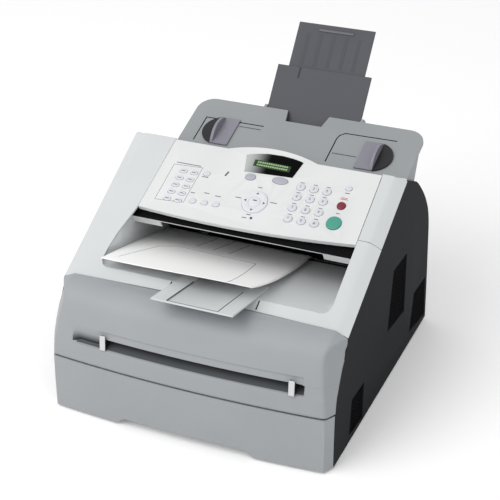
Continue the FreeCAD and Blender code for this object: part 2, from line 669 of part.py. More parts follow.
def output_tray():
    """Sunk floor for the printed sheets, with the side walls that carry the scanner."""
    floor = prism_x([(TRAY_FRONT_Y, tray_z(TRAY_FRONT_Y) - PLATE), (TRAY_FRONT_Y, tray_z(TRAY_FRONT_Y)),
                     (TRAY_REAR_Y, tray_z(TRAY_REAR_Y)), (TRAY_REAR_Y, tray_z(TRAY_REAR_Y) - PLATE)],
                    TRAY_LEFT, TRAY_RIGHT)
    drop = WALL / TOP_COS
    last = TRAY_WALL_END - 2 * WALL
    start = TRAY_WALL_START
    outline = [(start, tray_z(start) - PLATE), (start, top_z(start) - drop), (last, top_z(last) - drop),
               (TRAY_WALL_END, top_z(last) - drop), (TRAY_WALL_END, TRAY_WALL_FOOT),
               (TRAY_REAR_Y, TRAY_WALL_FOOT), (TRAY_REAR_Y, tray_z(TRAY_REAR_Y) - PLATE)]
    walls = [prism_x(outline, TRAY_LEFT - WALL, TRAY_LEFT), prism_x(outline, TRAY_RIGHT, TRAY_RIGHT + WALL)]
    tray = fused(floor, *walls)
    return tray.cut(rod_x(EXIT_ROLLER_Y, exit_roller_z(), EXIT_SHAFT + RUN, -HALF, HALF))


def output_extension():
    """Pull-out support for the printed sheets, with a sunk middle."""
    back = EXTENSION_FRONT + EXTENSION_LENGTH
    outline = [(EXTENSION_FRONT, extension_z(EXTENSION_FRONT)), (back, extension_z(back)),
               (back, extension_z(back) - PLATE), (EXTENSION_FRONT, extension_z(EXTENSION_FRONT) - PLATE)]
    plate = prism_x(outline, EXTENSION_LEFT, EXTENSION_RIGHT)
    front = EXTENSION_FRONT + EXTENSION_LIP
    sunk = [(front, extension_z(front) - PLATE / 2), (back + WALL, extension_z(back + WALL) - PLATE / 2),
            (back + WALL, extension_z(front) + WALL), (front, extension_z(front) + WALL)]
    return plate.cut(prism_x(sunk, EXTENSION_LEFT + EXTENSION_RIM, EXTENSION_RIGHT - EXTENSION_RIM))


def printed_sheet():
    """Sheet that leans from the exit roller out over the tray."""
    outline = [SHEET_FRONT, SHEET_REAR, (SHEET_REAR[0], SHEET_REAR[1] + SHEET_THICKNESS),
               (SHEET_FRONT[0], SHEET_FRONT[1] + SHEET_THICKNESS)]
    return prism_x(outline, SHEET_LEFT, SHEET_LEFT + SHEET_WIDTH)


def exit_roller():
    """Shaft with three rubber rollers that pushes the sheet out."""
    z = exit_roller_z()
    shaft = rod_x(EXIT_ROLLER_Y, z, EXIT_SHAFT, TRAY_LEFT - WALL, TRAY_RIGHT + WALL)
    middle = SHEET_LEFT + SHEET_WIDTH / 2
    rollers = []
    for shift in (-1, 0, 1):
        x = middle + shift * SHEET_WIDTH / 3
        half = 2 * EXIT_ROLLER_RADIUS
        rollers.append(rod_x(EXIT_ROLLER_Y, z, EXIT_ROLLER_RADIUS, x - half, x + half))
    return fused(shaft, *rollers)


def guide_top():
    """Height of the lower document guide under the panel, measured from the sloping top."""
    return -PANEL_DEPTH - DOCUMENT_GAP


def feed_roller_n():
    """Height of the document feed roller's axis, measured from the sloping top."""
    return guide_top() + FEED_ROLLER_RISE - FEED_ROLLER_RADIUS


def document_lower_guide():
    """Plate under the document path, with a bar in front of it at each end of the exit slot."""
    top = guide_top()
    low = top - GUIDE_PLATE
    foot = top - BAR_HEIGHT
    inside = BAR_U + BAR_THICKNESS
    outline = [(BAR_U, foot), (BAR_U, top), (GUIDE_REAR_U, top), (GUIDE_REAR_U, low), (inside, low),
               (inside, foot)]
    plate = prism_x(outline, TRAY_LEFT, TRAY_RIGHT)
    plate = plate.cut(box(TRAY_LEFT + BAR_END, TRAY_RIGHT - BAR_END, BAR_U - WALL, inside + WALL,
                          foot - WALL, low))
    inner = PANEL_REAR_LEFT_X + WALL
    plate = plate.cut(box(TRAY_LEFT - WALL, inner, GUIDE_SHOULDER_U, GUIDE_REAR_U + WALL,
                          low - WALL, top + WALL))
    x0, x1, u0, u1 = SENSOR
    plate = plate.cut(box(x0 - FIT, x1 + FIT, u0 - FIT, u1 + FIT, low - WALL, top + WALL))
    gap = FEED_ROLLER_GAP
    slot = FEED_ROLLER_RADIUS + gap
    x0, x1 = FEED_ROLLER_SPAN
    plate = plate.cut(box(x0 - gap, x1 + gap, FEED_ROLLER_U - slot, FEED_ROLLER_U + slot,
                          low - WALL, top + WALL))
    ribs = []
    for x in (TRAY_LEFT, TRAY_RIGHT - WALL):
        ribs.append(box(x, x + WALL, GUIDE_RIB_START, GUIDE_RIB_END, -GUIDE_RIB_DEPTH, low))
    guide = fused(plate, *ribs)
    guide = guide.cut(rod_x(FEED_ROLLER_U, feed_roller_n(), FEED_SHAFT + RUN, -HALF, HALF))
    return placed(guide, ON_TOP)


def image_sensor():
    """Contact image sensor bar in the lower document guide."""
    x0, x1, u0, u1 = SENSOR
    return placed(box(x0, x1, u0, u1, guide_top() - SENSOR_DEPTH, guide_top()), ON_TOP)


def document_feed_roller():
    """Roller that pulls documents over the sensor."""
    n = feed_roller_n()
    shaft = rod_x(FEED_ROLLER_U, n, FEED_SHAFT, TRAY_LEFT, TRAY_RIGHT)
    return placed(fused(shaft, rod_x(FEED_ROLLER_U, n, FEED_ROLLER_RADIUS, *FEED_ROLLER_SPAN)), ON_TOP)


def key_outline(key, grow):
    """Flat outline of a key on the panel: round, oval or rectangular."""
    x, y, half_width, half_depth = key[:4]
    centre = V(x, up_slope(y), 0)
    if half_width == half_depth:
        edge = Part.Circle(centre, V(0, 0, 1), half_width + grow).toShape()
    else:
        edge = Part.Ellipse(centre, half_width + grow, half_depth + grow).toShape()
    return Part.Face(Part.Wire(edge))


def key_solid(key):
    """Key cap with the flange that keeps it under the panel."""
    flange_top = -PANEL_PLATE - FIT
    low = flange_top - KEY_FLANGE
    cap = moved_by(key_outline(key, 0), 0, 0, low).extrude(V(0, 0, key[4] - low))
    flange = moved_by(key_outline(key, KEY_GAP + KEY_LIP), 0, 0, low).extrude(V(0, 0, KEY_FLANGE))
    return placed(fused(cap, flange), ON_TOP)


def dial_key(index):
    """Sizes of one of the twelve dial keys, counted along the rows."""
    row, column = divmod(index, len(DIAL_X))
    return (DIAL_X[column], DIAL_Y[row]) + DIAL_KEY


def speed_keys():
    """Sizes of the speed-dial keys, in rows of two."""
    keys = []
    for row in range(SPEED_ROWS):
        share = row / (SPEED_ROWS - 1)
        x = SPEED_TOP[0] + share * (SPEED_BOTTOM[0] - SPEED_TOP[0])
        y = SPEED_TOP[1] + share * (SPEED_BOTTOM[1] - SPEED_TOP[1])
        keys.append((x, y) + SPEED_KEY)
        keys.append((x + SPEED_SPACING, y) + SPEED_KEY)
    return keys


def all_keys():
    """Sizes of every key on the panel."""
    keys = [dial_key(index) for index in range(len(DIAL_NAMES))]
    keys = keys + [START_KEY, STOP_KEY, NAVIGATION_KEY] + list(SOFT_KEYS.values())
    return keys + FUNCTION_KEYS + speed_keys()


def panel_outline(inset, rear_reach):
    """Panel outline, moved in by the inset at the front and sides and carried back by rear_reach."""
    left, low_left = PANEL_FRONT_LEFT
    right, low_right = PANEL_FRONT_RIGHT
    front_left = V(left + inset, low_left + inset, 0)
    front_right = V(right - inset, low_right + inset, 0)
    front_mid = V(PANEL_FRONT_MID[0], PANEL_FRONT_MID[1] + inset, 0)
    rear = PANEL_REAR_U + rear_reach
    rear_right = V(right - inset, rear, 0)
    rear_left = V(PANEL_REAR_LEFT_X + inset, rear, 0)
    bulge_right = V(BULGE_RIGHT, rear, 0)
    bulge_left = V(BULGE_LEFT, rear, 0)
    bulge_top = V((BULGE_LEFT + BULGE_RIGHT) / 2, BULGE_U + rear_reach, 0)
    edges = [Part.Arc(front_left, front_mid, front_right).toShape(),
             Part.makeLine(front_right, rear_right), Part.makeLine(rear_right, bulge_right),
             Part.Arc(bulge_right, bulge_top, bulge_left).toShape(),
             Part.makeLine(bulge_left, rear_left), Part.makeLine(rear_left, front_left)]
    return Part.Face(Part.Wire(edges))


def window_solid(grow, low, high):
    """Display window outline carried between two heights."""
    face = Part.Face(Part.makePolygon([V(x, u, 0) for x, u in WINDOW + WINDOW[:1]]))
    if grow:
        face = Part.Face(face.makeOffset2D(grow).OuterWire)
    return moved_by(face, 0, 0, low).extrude(V(0, 0, high - low))


def board_top():
    """Height of the panel board's top, so that a pressed key stays clear of it."""
    return -PANEL_PLATE - FIT - KEY_FLANGE - KEY_TRAVEL - FIT


def control_panel():
    """Hinged panel shell with the key holes, the window opening and the hinge pins."""
    body = moved_by(panel_outline(0, 0), 0, 0, -PANEL_DEPTH).extrude(V(0, 0, PANEL_DEPTH))
    hollow = moved_by(panel_outline(PLATE, WALL), 0, 0, -PANEL_DEPTH - WALL)
    body = body.cut(hollow.extrude(V(0, 0, PANEL_DEPTH + WALL - PANEL_PLATE)))
    for key in all_keys():
        hole = moved_by(key_outline(key, KEY_GAP), 0, 0, -PANEL_DEPTH)
        body = body.cut(hole.extrude(V(0, 0, 2 * PANEL_DEPTH)))
    body = body.cut(window_solid(RUN, -PANEL_DEPTH, PANEL_DEPTH))
    u, n = panel_hinge()
    right = PANEL_FRONT_RIGHT[0]
    pieces = []
    for x0, x1, tip in ((PANEL_REAR_LEFT_X, PANEL_REAR_LEFT_X + PANEL_KNUCKLE, -PANEL_PIN_LENGTH),
                        (right - PANEL_KNUCKLE, right, PANEL_PIN_LENGTH)):
        low = n - PANEL_KNUCKLE_DEPTH
        pieces.append(box(x0, x1, u - 2 * PANEL_PIN, PANEL_REAR_U, low, -OVERLAP))
        pieces.append(rod_x(u, n, PANEL_PIN, x0 + min(tip, 0), x1 + max(tip, 0)))
    for x in PEG_X:
        for peg_u in PEG_U:
            pieces.append(Part.makeCylinder(PLATE, -board_top() - OVERLAP, V(x, peg_u, board_top())))
    return placed(fused(body, *pieces), ON_TOP)


def lcd_window():
    """Clear window over the display."""
    return placed(window_solid(0, -PANEL_PLATE, WINDOW_RISE), ON_TOP)


def lcd_module():
    """Display module between the window and the panel board."""
    x0, x1, u0, u1 = DISPLAY
    return placed(box(x0, x1, u0, u1, board_top(), -PANEL_PLATE), ON_TOP)


def panel_board():
    """Circuit board behind the keys."""
    left, right, front = PANEL_BOARD_INSET
    u0 = PANEL_FRONT_RIGHT[1] + front
    u1 = panel_hinge()[0] - 3 * PANEL_PIN
    top = board_top()
    board = box(PANEL_FRONT_LEFT[0] + left, PANEL_FRONT_RIGHT[0] - right, u0, u1, top - PANEL_BOARD, top)
    return placed(board, ON_TOP)


def shelf_outline():
    """Document tray outline with rounded rear corners and the notch for the support."""
    r = SHELF_CORNER
    k = r * (1 - math.sqrt(0.5))
    left, right, front, rear = SHELF_LEFT, SHELF_RIGHT, SHELF_FRONT, SHELF_REAR
    edges = [Part.makeLine(V(left, front, 0), V(right, front, 0)),
             Part.makeLine(V(right, front, 0), V(right, rear - r, 0)),
             Part.Arc(V(right, rear - r, 0), V(right - k, rear - k, 0), V(right - r, rear, 0)).toShape(),
             Part.makeLine(V(right - r, rear, 0), V(left + r, rear, 0)),
             Part.Arc(V(left + r, rear, 0), V(left + k, rear - k, 0), V(left, rear - r, 0)).toShape(),
             Part.makeLine(V(left, rear - r, 0), V(left, front, 0))]
    return Part.Face(Part.Wire(edges))


def rear_top():
    """Top of the rear shell in front of its curve, as (y, z) points."""
    return [(TOP_REAR_Y + SEAM, TOP_REAR_Z), (REAR_TOP_Y, TOP_REAR_Z - REAR_TOP_FALL)]


def shell_top_z(y):
    """Height of the rear shell's flat top at depth y."""
    (y0, z0), (y1, z1) = rear_top()
    return z0 + (z1 - z0) * (y - y0) / (y1 - y0)


def shelf_z(y):
    """Height of the middle of the shelf plate at depth y."""
    return SHELF_Z + SHELF_TAN * (y - SHELF_Y) - SHELF_PLATE / 2


def groove(points, depth):
    """Cutters of even width along a line of (x, distance up the shelf) points."""
    cutters = []
    for (x0, s0), (x1, s1) in zip(points, points[1:]):
        length = math.hypot(x1 - x0, s1 - s0)
        a = (x1 - x0) / length * GROOVE / 2
        b = (s1 - s0) / length * GROOVE / 2
        corners = [(x0 - a - b, s0 - b + a), (x1 + a - b, s1 + b + a), (x1 + a + b, s1 + b - a),
                   (x0 - a + b, s0 - b - a)]
        cutters.append(prism_z(corners, -depth, OVERLAP))
    return cutters


def document_tray():
    """Shelf for documents on a pedestal behind the panel, with the pocket for the support."""
    shelf = moved_by(shelf_outline(), 0, 0, -SHELF_PLATE).extrude(V(0, 0, SHELF_PLATE))
    shelf = shelf.cut(prism_z(NOTCH, -2 * SHELF_PLATE, SHELF_PLATE))
    cutters = [groove(points, GROOVE_DEPTH) for points in GROOVES]
    cutters += [groove(points, 2 * SHELF_PLATE) for points in SLOTS]
    for cutter in sum(cutters, []):
        shelf = shelf.cut(cutter)
    shelf = placed(shelf, ON_SHELF)
    front = SHELF_Y + SHELF_FRONT + WALL
    foot = REAR_CURVE[0]
    bend = rear_top()[1]
    top_back = (PEDESTAL_BACK_Y, shelf_z(PEDESTAL_BACK_Y))
    side = [(front, shell_top_z(front)), bend, foot, top_back, (front, shelf_z(front))]
    left = SHELF_LEFT + WALL
    right = SHELF_RIGHT
    pieces = [prism_x(side, left, left + WALL), prism_x(side, right - WALL, right)]
    near = foot[0] - PEDESTAL_WALL
    near_z = foot[1] + (bend[1] - foot[1]) * PEDESTAL_WALL / (foot[0] - bend[0])
    back_top = top_back[0] - PEDESTAL_WALL
    wall = [(near, near_z), foot, top_back, (back_top, shelf_z(back_top))]
    pieces.append(prism_x(wall, left, right))
    deep = -SUPPORT_PLATE - UPPER_PLATE - 3 * FIT
    cheek_left = SUPPORT_LEFT - FIT - SUPPORT_CHEEK
    cheek_right = SUPPORT_RIGHT + FIT
    for x in (cheek_left, cheek_right):
        cheek = box(x, x + SUPPORT_CHEEK, POCKET_LOW, 0, deep - POCKET_PLATE, SUPPORT_CHEEK_RISE)
        pieces.append(placed(cheek, ON_SUPPORT))
    back = box(cheek_left, cheek_right + SUPPORT_CHEEK, POCKET_BACK[0], POCKET_BACK[1],
               deep - POCKET_PLATE, deep)
    pieces.append(placed(back, ON_SUPPORT))
    above = placed(box(-HALF, HALF, -REAR_Y, REAR_Y, 0, REAR_Y), ON_SHELF)
    return fused(shelf, *[piece.cut(above) for piece in pieces])


def document_guide(inner, blade_x, outer):
    """Sliding edge guide: plate, arched blade and the rounded grip on its outer side."""
    s0, s1 = GUIDE_SPAN
    middle = (s0 + s1) / 2
    edges = [Part.makeLine(V(inner, s1, 0), V(inner, s0, 0)),
             Part.makeLine(V(inner, s0, 0), V(blade_x, s0, 0)),
             Part.Arc(V(blade_x, s0, 0), V(outer, middle, 0), V(blade_x, s1, 0)).toShape(),
             Part.makeLine(V(blade_x, s1, 0), V(inner, s1, 0))]
    base = moved_by(Part.Face(Part.Wire(edges)), 0, 0, FIT).extrude(V(0, 0, GUIDE_BASE))
    low = FIT + GUIDE_BASE / 2
    x0 = min(blade_x, blade_x + math.copysign(GUIDE_BLADE, inner - outer))
    arch = [Part.Arc(V(x0, s0, low), V(x0, middle, GUIDE_HEIGHT), V(x0, s1, low)).toShape(),
            Part.makeLine(V(x0, s1, low), V(x0, s0, low))]
    blade = Part.Face(Part.Wire(arch)).extrude(V(GUIDE_BLADE, 0, 0))
    return placed(fused(base, blade), ON_SHELF)


def document_support():
    """Lower leaf of the pull-out document support."""
    leaf = box(SUPPORT_LEFT, SUPPORT_RIGHT, SUPPORT_LOW, SUPPORT_HIGH, -SUPPORT_PLATE, 0)
    return placed(leaf, ON_SUPPORT)


def document_support_extension():
    """Upper leaf that slides behind the lower one, with a lip to pull."""
    back = -SUPPORT_PLATE - FIT
    leaf = box(UPPER_LEFT, UPPER_RIGHT, UPPER_LOW, UPPER_HIGH, back - UPPER_PLATE, back)
    x0, x1, v0, v1 = PULL_LIP
    return placed(fused(leaf, box(x0, x1, v0, v1, back - OVERLAP, back + PULL_LIP_HEIGHT)), ON_SUPPORT)


def rear_skin():
    """Whole rear skin over the back of the machine."""
    outer = rear_top() + REAR_CURVE + [(REAR_Y, FOOT_HEIGHT)]
    inner = [(y - WALL, z - WALL) for y, z in outer[:-1]] + [(REAR_Y - WALL, FOOT_HEIGHT)]
    half = SIDE_INNER - SEAM
    return prism_x(outer + inner[::-1], -half, half)


def rear_zone(gap):
    """Space of the rear cover in the rear skin."""
    half = REAR_COVER_HALF + gap
    return box(-half, half, REAR_Y - 10 * WALL, REAR_Y + WALL, REAR_COVER_LOW - gap,
               REAR_COVER_HIGH + gap)


def rear_shell():
    """Rear skin with the openings for the rear cover and the sockets."""
    shell = rear_skin().cut(rear_zone(SEAM))
    reach = REAR_COVER_HALF + REAR_PIN_LENGTH
    shell = shell.cut(rod_x(REAR_HINGE_Y, REAR_HINGE_Z, REAR_PIN + RUN, -reach - FIT, reach + FIT))
    for x0, x1, z0, z1 in [INLET] + JACKS:
        shell = shell.cut(box(x0 - FIT, x1 + FIT, REAR_Y - 2 * WALL, REAR_Y + WALL, z0 - FIT, z1 + FIT))
    for screw in screw_axes():
        shell = shell.cut(Part.makeCylinder(SCREW_SHANK + RUN, 4 * WALL, screw, V(0, -1, 0)))
    return shell


def rear_cover():
    """Door in the rear skin for clearing jams."""
    reach = REAR_COVER_HALF + REAR_PIN_LENGTH
    door = rear_skin().common(rear_zone(0))
    return fused(door, rod_x(REAR_HINGE_Y, REAR_HINGE_Z, REAR_PIN, -reach, reach))


def screw_axes():
    """Head seats of the rear screws."""
    return [V(x, REAR_Y, z) for x in (-SCREW_X, SCREW_X) for z in SCREW_Z]


def rear_screws():
    """Screws that hold the rear shell to the frame."""
    screws = []
    for seat in screw_axes():
        head = Part.makeCylinder(SCREW_HEAD, SCREW_HEAD_HEIGHT, seat, V(0, 1, 0))
        shank = Part.makeCylinder(SCREW_SHANK, REAR_Y - FRAME_BACK + WALL, seat, V(0, -1, 0))
        screws.append(fused(head, shank))
    return Part.makeCompound(screws)


def rear_sockets():
    """Mains inlet and line jacks, seated on the frame's rear wall."""
    sockets = []
    for x0, x1, z0, z1 in [INLET] + JACKS:
        body = box(x0, x1, FRAME_BACK, REAR_Y, z0, z1)
        rim = SOCKET_RIM
        hollow = box(x0 + rim, x1 - rim, REAR_Y - SOCKET_HOLLOW, REAR_Y + WALL, z0 + rim, z1 - rim)
        sockets.append(body.cut(hollow))
    return Part.makeCompound(sockets)


def base_frame():
    """Side walls, deck, runners, posts and hinge arms that carry everything."""
    wall = [(FRAME_FRONT, FOOT_HEIGHT), (FRAME_FRONT, DECK_TOP),
            (PICKUP_Y - 2 * ROLLER_SHAFT, PICKUP_Z + ROLLER_SHAFT),
            (DECK_FRONT + PICKUP_RADIUS, FRAME_TOP), (HEAT_Y + 2 * HEAT_RADIUS, FRAME_TOP),
            (FRAME_BACK, FRAME_TOP - 2 * HEAT_RADIUS), (FRAME_BACK, FOOT_HEIGHT)]
    right = [prism_x(wall, FRAME_INNER, FRAME_OUTER)]
    right.append(box(FRAME_INNER - LEDGE, FRAME_INNER, FRAME_FRONT, FRAME_BACK, FOOT_HEIGHT, LEDGE_TOP))
    drop = WALL / TOP_COS
    for y0, y1 in POST_Y:
        post = [(y0, DECK_TOP - OVERLAP), (y1, DECK_TOP - OVERLAP), (y1, top_z(y1) - drop),
                (y0, top_z(y0) - drop)]
        right.append(prism_x(post, *POST_X))
    low = COVER_HINGE_Z - HINGE_ARM_RADIUS
    high = COVER_HINGE_Z + HINGE_ARM_RADIUS
    heel = DECK_FRONT + 2 * WALL
    arm = [(COVER_HINGE_Y, low), (DECK_FRONT - WALL, low), (DECK_FRONT, DECK_TOP), (heel, DECK_TOP),
           (heel, high), (COVER_HINGE_Y, high)]
    x0 = HINGE_ARM_X - HINGE_ARM_HALF
    x1 = HINGE_ARM_X + HINGE_ARM_HALF
    right.append(prism_x(arm, x0, x1))
    right.append(rod_x(COVER_HINGE_Y, COVER_HINGE_Z, HINGE_ARM_RADIUS, x0, x1))
    deck = box(-FRAME_INNER, FRAME_INNER, DECK_FRONT, FRAME_BACK, DECK_BOTTOM, DECK_TOP)
    back = box(-FRAME_INNER, FRAME_INNER, FRAME_BACK - 2 * WALL, FRAME_BACK, FOOT_HEIGHT, DECK_BOTTOM)
    frame = fused(deck, back, *(right + [mirrored(piece) for piece in right]))
    bores = [rod_x(COVER_HINGE_Y, COVER_HINGE_Z, COVER_PIN + RUN, -HALF, HALF),
             rod_x(PICKUP_Y, PICKUP_Z, PICKUP_SHAFT + RUN, -HALF, HALF)]
    bores += [rod_x(HEAT_Y, z, ROLLER_SHAFT + RUN, -HALF, HALF) for z in (heat_z(), pressure_z())]
    for screw in screw_axes():
        bores.append(Part.makeCylinder(SCREW_SHANK + RUN, 5 * WALL, screw, V(0, -1, 0)))
    return frame.cut(Part.makeCompound(bores))


def pressure_z():
    """Height of the pressure roller's axis above the deck."""
    return DECK_TOP + NIP_GAP + HEAT_RADIUS


def heat_z():
    """Height of the heat roller's axis above the pressure roller."""
    return pressure_z() + 2 * HEAT_RADIUS + NIP_GAP


def long_roller(y, z, radius, half, shaft):
    """Roller whose shaft runs in the frame's side walls."""
    return fused(rod_x(y, z, radius, -half, half), rod_x(y, z, shaft, -FRAME_OUTER, FRAME_OUTER))


def drum_cartridge():
    """Toner and drum housing, hollowed round the photoconductor drum."""
    body = prism_x(CARTRIDGE, -CARTRIDGE_HALF, CARTRIDGE_HALF)
    half = DRUM_HALF + FIT
    reach = DRUM_RADIUS + DRUM_GAP
    hollow = rod_x(DRUM_Y, DRUM_Z, reach, -half, half)
    mouth = box(-half, half, DRUM_Y - reach, DRUM_Y + reach, DECK_TOP - WALL, DRUM_Z)
    return body.cut(hollow).cut(mouth).cut(rod_x(DRUM_Y, DRUM_Z, DRUM_SHAFT + RUN, -HALF, HALF))


def photo_drum():
    """Photoconductor drum with its shaft in the cartridge ends."""
    return fused(rod_x(DRUM_Y, DRUM_Z, DRUM_RADIUS, -DRUM_HALF, DRUM_HALF),
                 rod_x(DRUM_Y, DRUM_Z, DRUM_SHAFT, -CARTRIDGE_HALF, CARTRIDGE_HALF))


def main_board():
    """Main circuit board on the left frame wall, with its largest chips."""
    y0, y1, z0, z1 = BOARD
    face = -FRAME_INNER + PANEL_BOARD
    board = box(-FRAME_INNER, face, y0, y1, z0, z1)
    chips = []
    for y in (y0 + 4 * WALL, (y0 + y1) / 2, y1 - 10 * WALL):
        chips.append(box(face, face + WALL, y, y + 6 * WALL, z0 + 6 * WALL, z0 + 12 * WALL))
    return fused(board, *chips)


def feet():
    """Rubber feet under the frame's runners."""
    x = FRAME_INNER - LEDGE / 2
    pads = []
    for side in (-x, x):
        for y in (FRAME_FRONT + 2 * FOOT_RADIUS, FRAME_BACK - 2 * FOOT_RADIUS):
            pads.append(Part.makeCylinder(FOOT_RADIUS, FOOT_HEIGHT, V(side, y, 0)))
    return Part.makeCompound(pads)


def build():
    """All pieces by name, drawn from the cassette's front corners."""
    y, z, radius, length = MOTOR
    motor = rod_x(y, z, radius, FRAME_INNER - length, FRAME_INNER)
    half, y0, y1, high = LASER
    laser = box(-half, half, y0, y1, DECK_TOP, high)
    x0, x1, s0, s1, supply_top = SUPPLY
    supply = box(x0, x1, s0, s1, DECK_TOP, supply_top)
    x, speaker_y, speaker_radius, speaker_height = SPEAKER
    speaker = Part.makeCylinder(speaker_radius, speaker_height, V(x, speaker_y, DECK_TOP))
    pieces = {
        "base_frame": base_frame(), "right_side_cover": side_cover(),
        "left_side_cover": mirrored(side_cover()),
        "top_cover": top_cover(), "upper_end_cap": upper_end_cap(), "output_tray": output_tray(),
        "rear_shell": rear_shell(), "document_lower_guide": document_lower_guide(),
        "document_tray": document_tray(), "image_sensor": image_sensor(), "laser_unit": laser,
        "drum_cartridge": drum_cartridge(), "main_board": main_board(), "power_supply": supply,
        "speaker": speaker, "drive_motor": motor, "rear_sockets": rear_sockets(),
        "rear_screws": rear_screws(), "feet": feet(), "front_cover": front_cover(),
        "manual_guide_left": manual_guide("left"),
        "manual_guide_right": manual_guide("right"), "paper_cassette": paper_cassette(),
        "cassette_lift_plate": cassette_lift_plate(), "rear_cover": rear_cover(),
        "control_panel": control_panel(), "lcd_window": lcd_window(), "lcd_module": lcd_module(),
        "panel_board": panel_board(), "document_guide_left": document_guide(*LEFT_GUIDE),
        "document_guide_right": document_guide(*RIGHT_GUIDE), "document_support": document_support(),
        "document_support_extension": document_support_extension(), "output_extension": output_extension(),
        "printed_sheet": printed_sheet(), "photo_drum": photo_drum(), "exit_roller": exit_roller(),
        "document_feed_roller": document_feed_roller(),
        "heat_roller": long_roller(HEAT_Y, heat_z(), HEAT_RADIUS, ROLLER_HALF, ROLLER_SHAFT),
        "pressure_roller": long_roller(HEAT_Y, pressure_z(), HEAT_RADIUS, ROLLER_HALF, ROLLER_SHAFT),
        "pickup_roller": long_roller(PICKUP_Y, PICKUP_Z, PICKUP_RADIUS, PICKUP_HALF, PICKUP_SHAFT),
        "start_key": key_solid(START_KEY), "stop_key": key_solid(STOP_KEY),
        "navigation_key": key_solid(NAVIGATION_KEY),
        "function_keys": Part.makeCompound([key_solid(key) for key in FUNCTION_KEYS]),
        "speed_dial_keys": Part.makeCompound([key_solid(key) for key in speed_keys()]),
    }
    for side, key in SOFT_KEYS.items():
        pieces["soft_key_" + side] = key_solid(key)
    for index, name in enumerate(DIAL_NAMES):
        pieces["dial_key_" + name] = key_solid(dial_key(index))
    return pieces


def floor_origin(pieces):
    """Point on the floor under the middle of the whole machine."""
    bounds = FreeCAD.BoundBox()
    for shape in pieces.values():
        bounds.add(shape.BoundBox)
    return V((bounds.XMin + bounds.XMax) / 2, (bounds.YMin + bounds.YMax) / 2, bounds.ZMin)


PIECES = build()
ORIGIN = floor_origin(PIECES)

os.makedirs("parts", exist_ok=True)
for node, piece in PIECES.items():
    piece.translate(ORIGIN * -1)
    piece.exportStep("parts/" + node + ".step")
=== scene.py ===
"""Looks of a compact laser fax machine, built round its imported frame.

Sizes are millimetres in the drawing frame of the part: X right, Y back from the front corners,
Z up from the floor. They become metres in the row frame when a mesh is made.
"""
from __future__ import annotations

import json
import logging
import math
from collections.abc import Callable, Sequence
from dataclasses import dataclass
from enum import Enum

import bmesh
import bpy
import numpy as np
from mathutils import Matrix, Vector

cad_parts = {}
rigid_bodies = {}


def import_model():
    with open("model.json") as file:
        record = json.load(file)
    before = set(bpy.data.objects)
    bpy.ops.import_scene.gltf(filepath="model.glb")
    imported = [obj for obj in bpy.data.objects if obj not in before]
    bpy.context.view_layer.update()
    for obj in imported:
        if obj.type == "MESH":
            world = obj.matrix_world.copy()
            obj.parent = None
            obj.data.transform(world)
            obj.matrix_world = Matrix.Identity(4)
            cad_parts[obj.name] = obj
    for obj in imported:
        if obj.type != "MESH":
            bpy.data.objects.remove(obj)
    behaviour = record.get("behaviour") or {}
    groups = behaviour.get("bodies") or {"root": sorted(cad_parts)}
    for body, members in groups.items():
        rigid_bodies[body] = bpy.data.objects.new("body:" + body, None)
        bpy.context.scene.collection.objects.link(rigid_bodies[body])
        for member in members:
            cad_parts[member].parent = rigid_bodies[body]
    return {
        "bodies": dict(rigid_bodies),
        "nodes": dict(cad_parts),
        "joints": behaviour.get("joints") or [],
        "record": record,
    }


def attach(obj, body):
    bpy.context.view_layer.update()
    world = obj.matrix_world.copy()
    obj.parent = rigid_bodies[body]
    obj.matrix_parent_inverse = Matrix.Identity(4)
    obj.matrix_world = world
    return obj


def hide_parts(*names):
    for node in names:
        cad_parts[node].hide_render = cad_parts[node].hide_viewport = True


LOG = logging.getLogger("fax_machine")
MM = 0.001
ROW_ORIGIN = np.array([0.0, 214.1408, 0.0])
HALF_WIDTH = 187.0
SEAM = 0.6
LINING = 0.8
SKIN_SHARP = 50.0
CURVED_SHARP = 60.0
BEVEL_ANGLE = 32.0
QUARTER = math.pi / 2
WHITE = (1.0, 1.0, 1.0, 1.0)
Array = np.ndarray
Place = tuple[float, float]
Triple = tuple[float, float, float]
Faces = list[list[int]]
Mask = Callable[[Array, Array], Array]
Values = dict[str | int, object]


class Side(Enum):
    """Left or right of the machine, seen from the front."""

    LEFT = -1
    RIGHT = 1


class Look(Enum):
    """How a finish answers light."""

    PLAIN = "plain"
    METAL = "metal"


def linear(rgb: Triple) -> tuple[float, float, float, float]:
    """Linear colour of an sRGB colour.

    Args:
        rgb: Red, green and blue from 0 to 255.

    Returns:
        The linear colour with full alpha.
    """
    share = np.array(rgb, float) / 255.0
    flat = np.where(share <= 0.04045, share / 12.92, ((share + 0.055) / 1.055) ** 2.4)
    return (*flat.tolist(), 1.0)


def to_row(points: Array) -> Array:
    """Row-frame metres of drawing-frame millimetres."""
    return (np.asarray(points, float) - ROW_ORIGIN) * MM


def smooth_max(a: Array, b: Array, width: float) -> Array:
    """Larger of two values with a rounded corner: half of a + b + the root of (a - b)^2 + width^2."""
    return 0.5 * (a + b + np.sqrt((a - b) ** 2 + width ** 2))


def smooth_min(a: Array, b: Array, width: float) -> Array:
    """Smaller of two values with the corner between them rounded."""
    return -smooth_max(-np.asarray(a), -np.asarray(b), width)


def smooth_step(value: Array) -> Array:
    """Ramp from 0 to 1 that starts and ends level: 3 t^2 - 2 t^3."""
    t = np.clip(value, 0.0, 1.0)
    return t * t * (3.0 - 2.0 * t)


def eased(start: float, run: float, count: int = 9) -> Array:
    """Values over a run, closer at its start: the run times one less the cosine over a quarter turn."""
    return start + run * (1 - np.cos(np.linspace(0.0, QUARTER, count)))


def joined(*runs: Array) -> Array:
    """Sorted values of several runs, each value once."""
    return np.unique(np.round(np.concatenate(runs), 4))


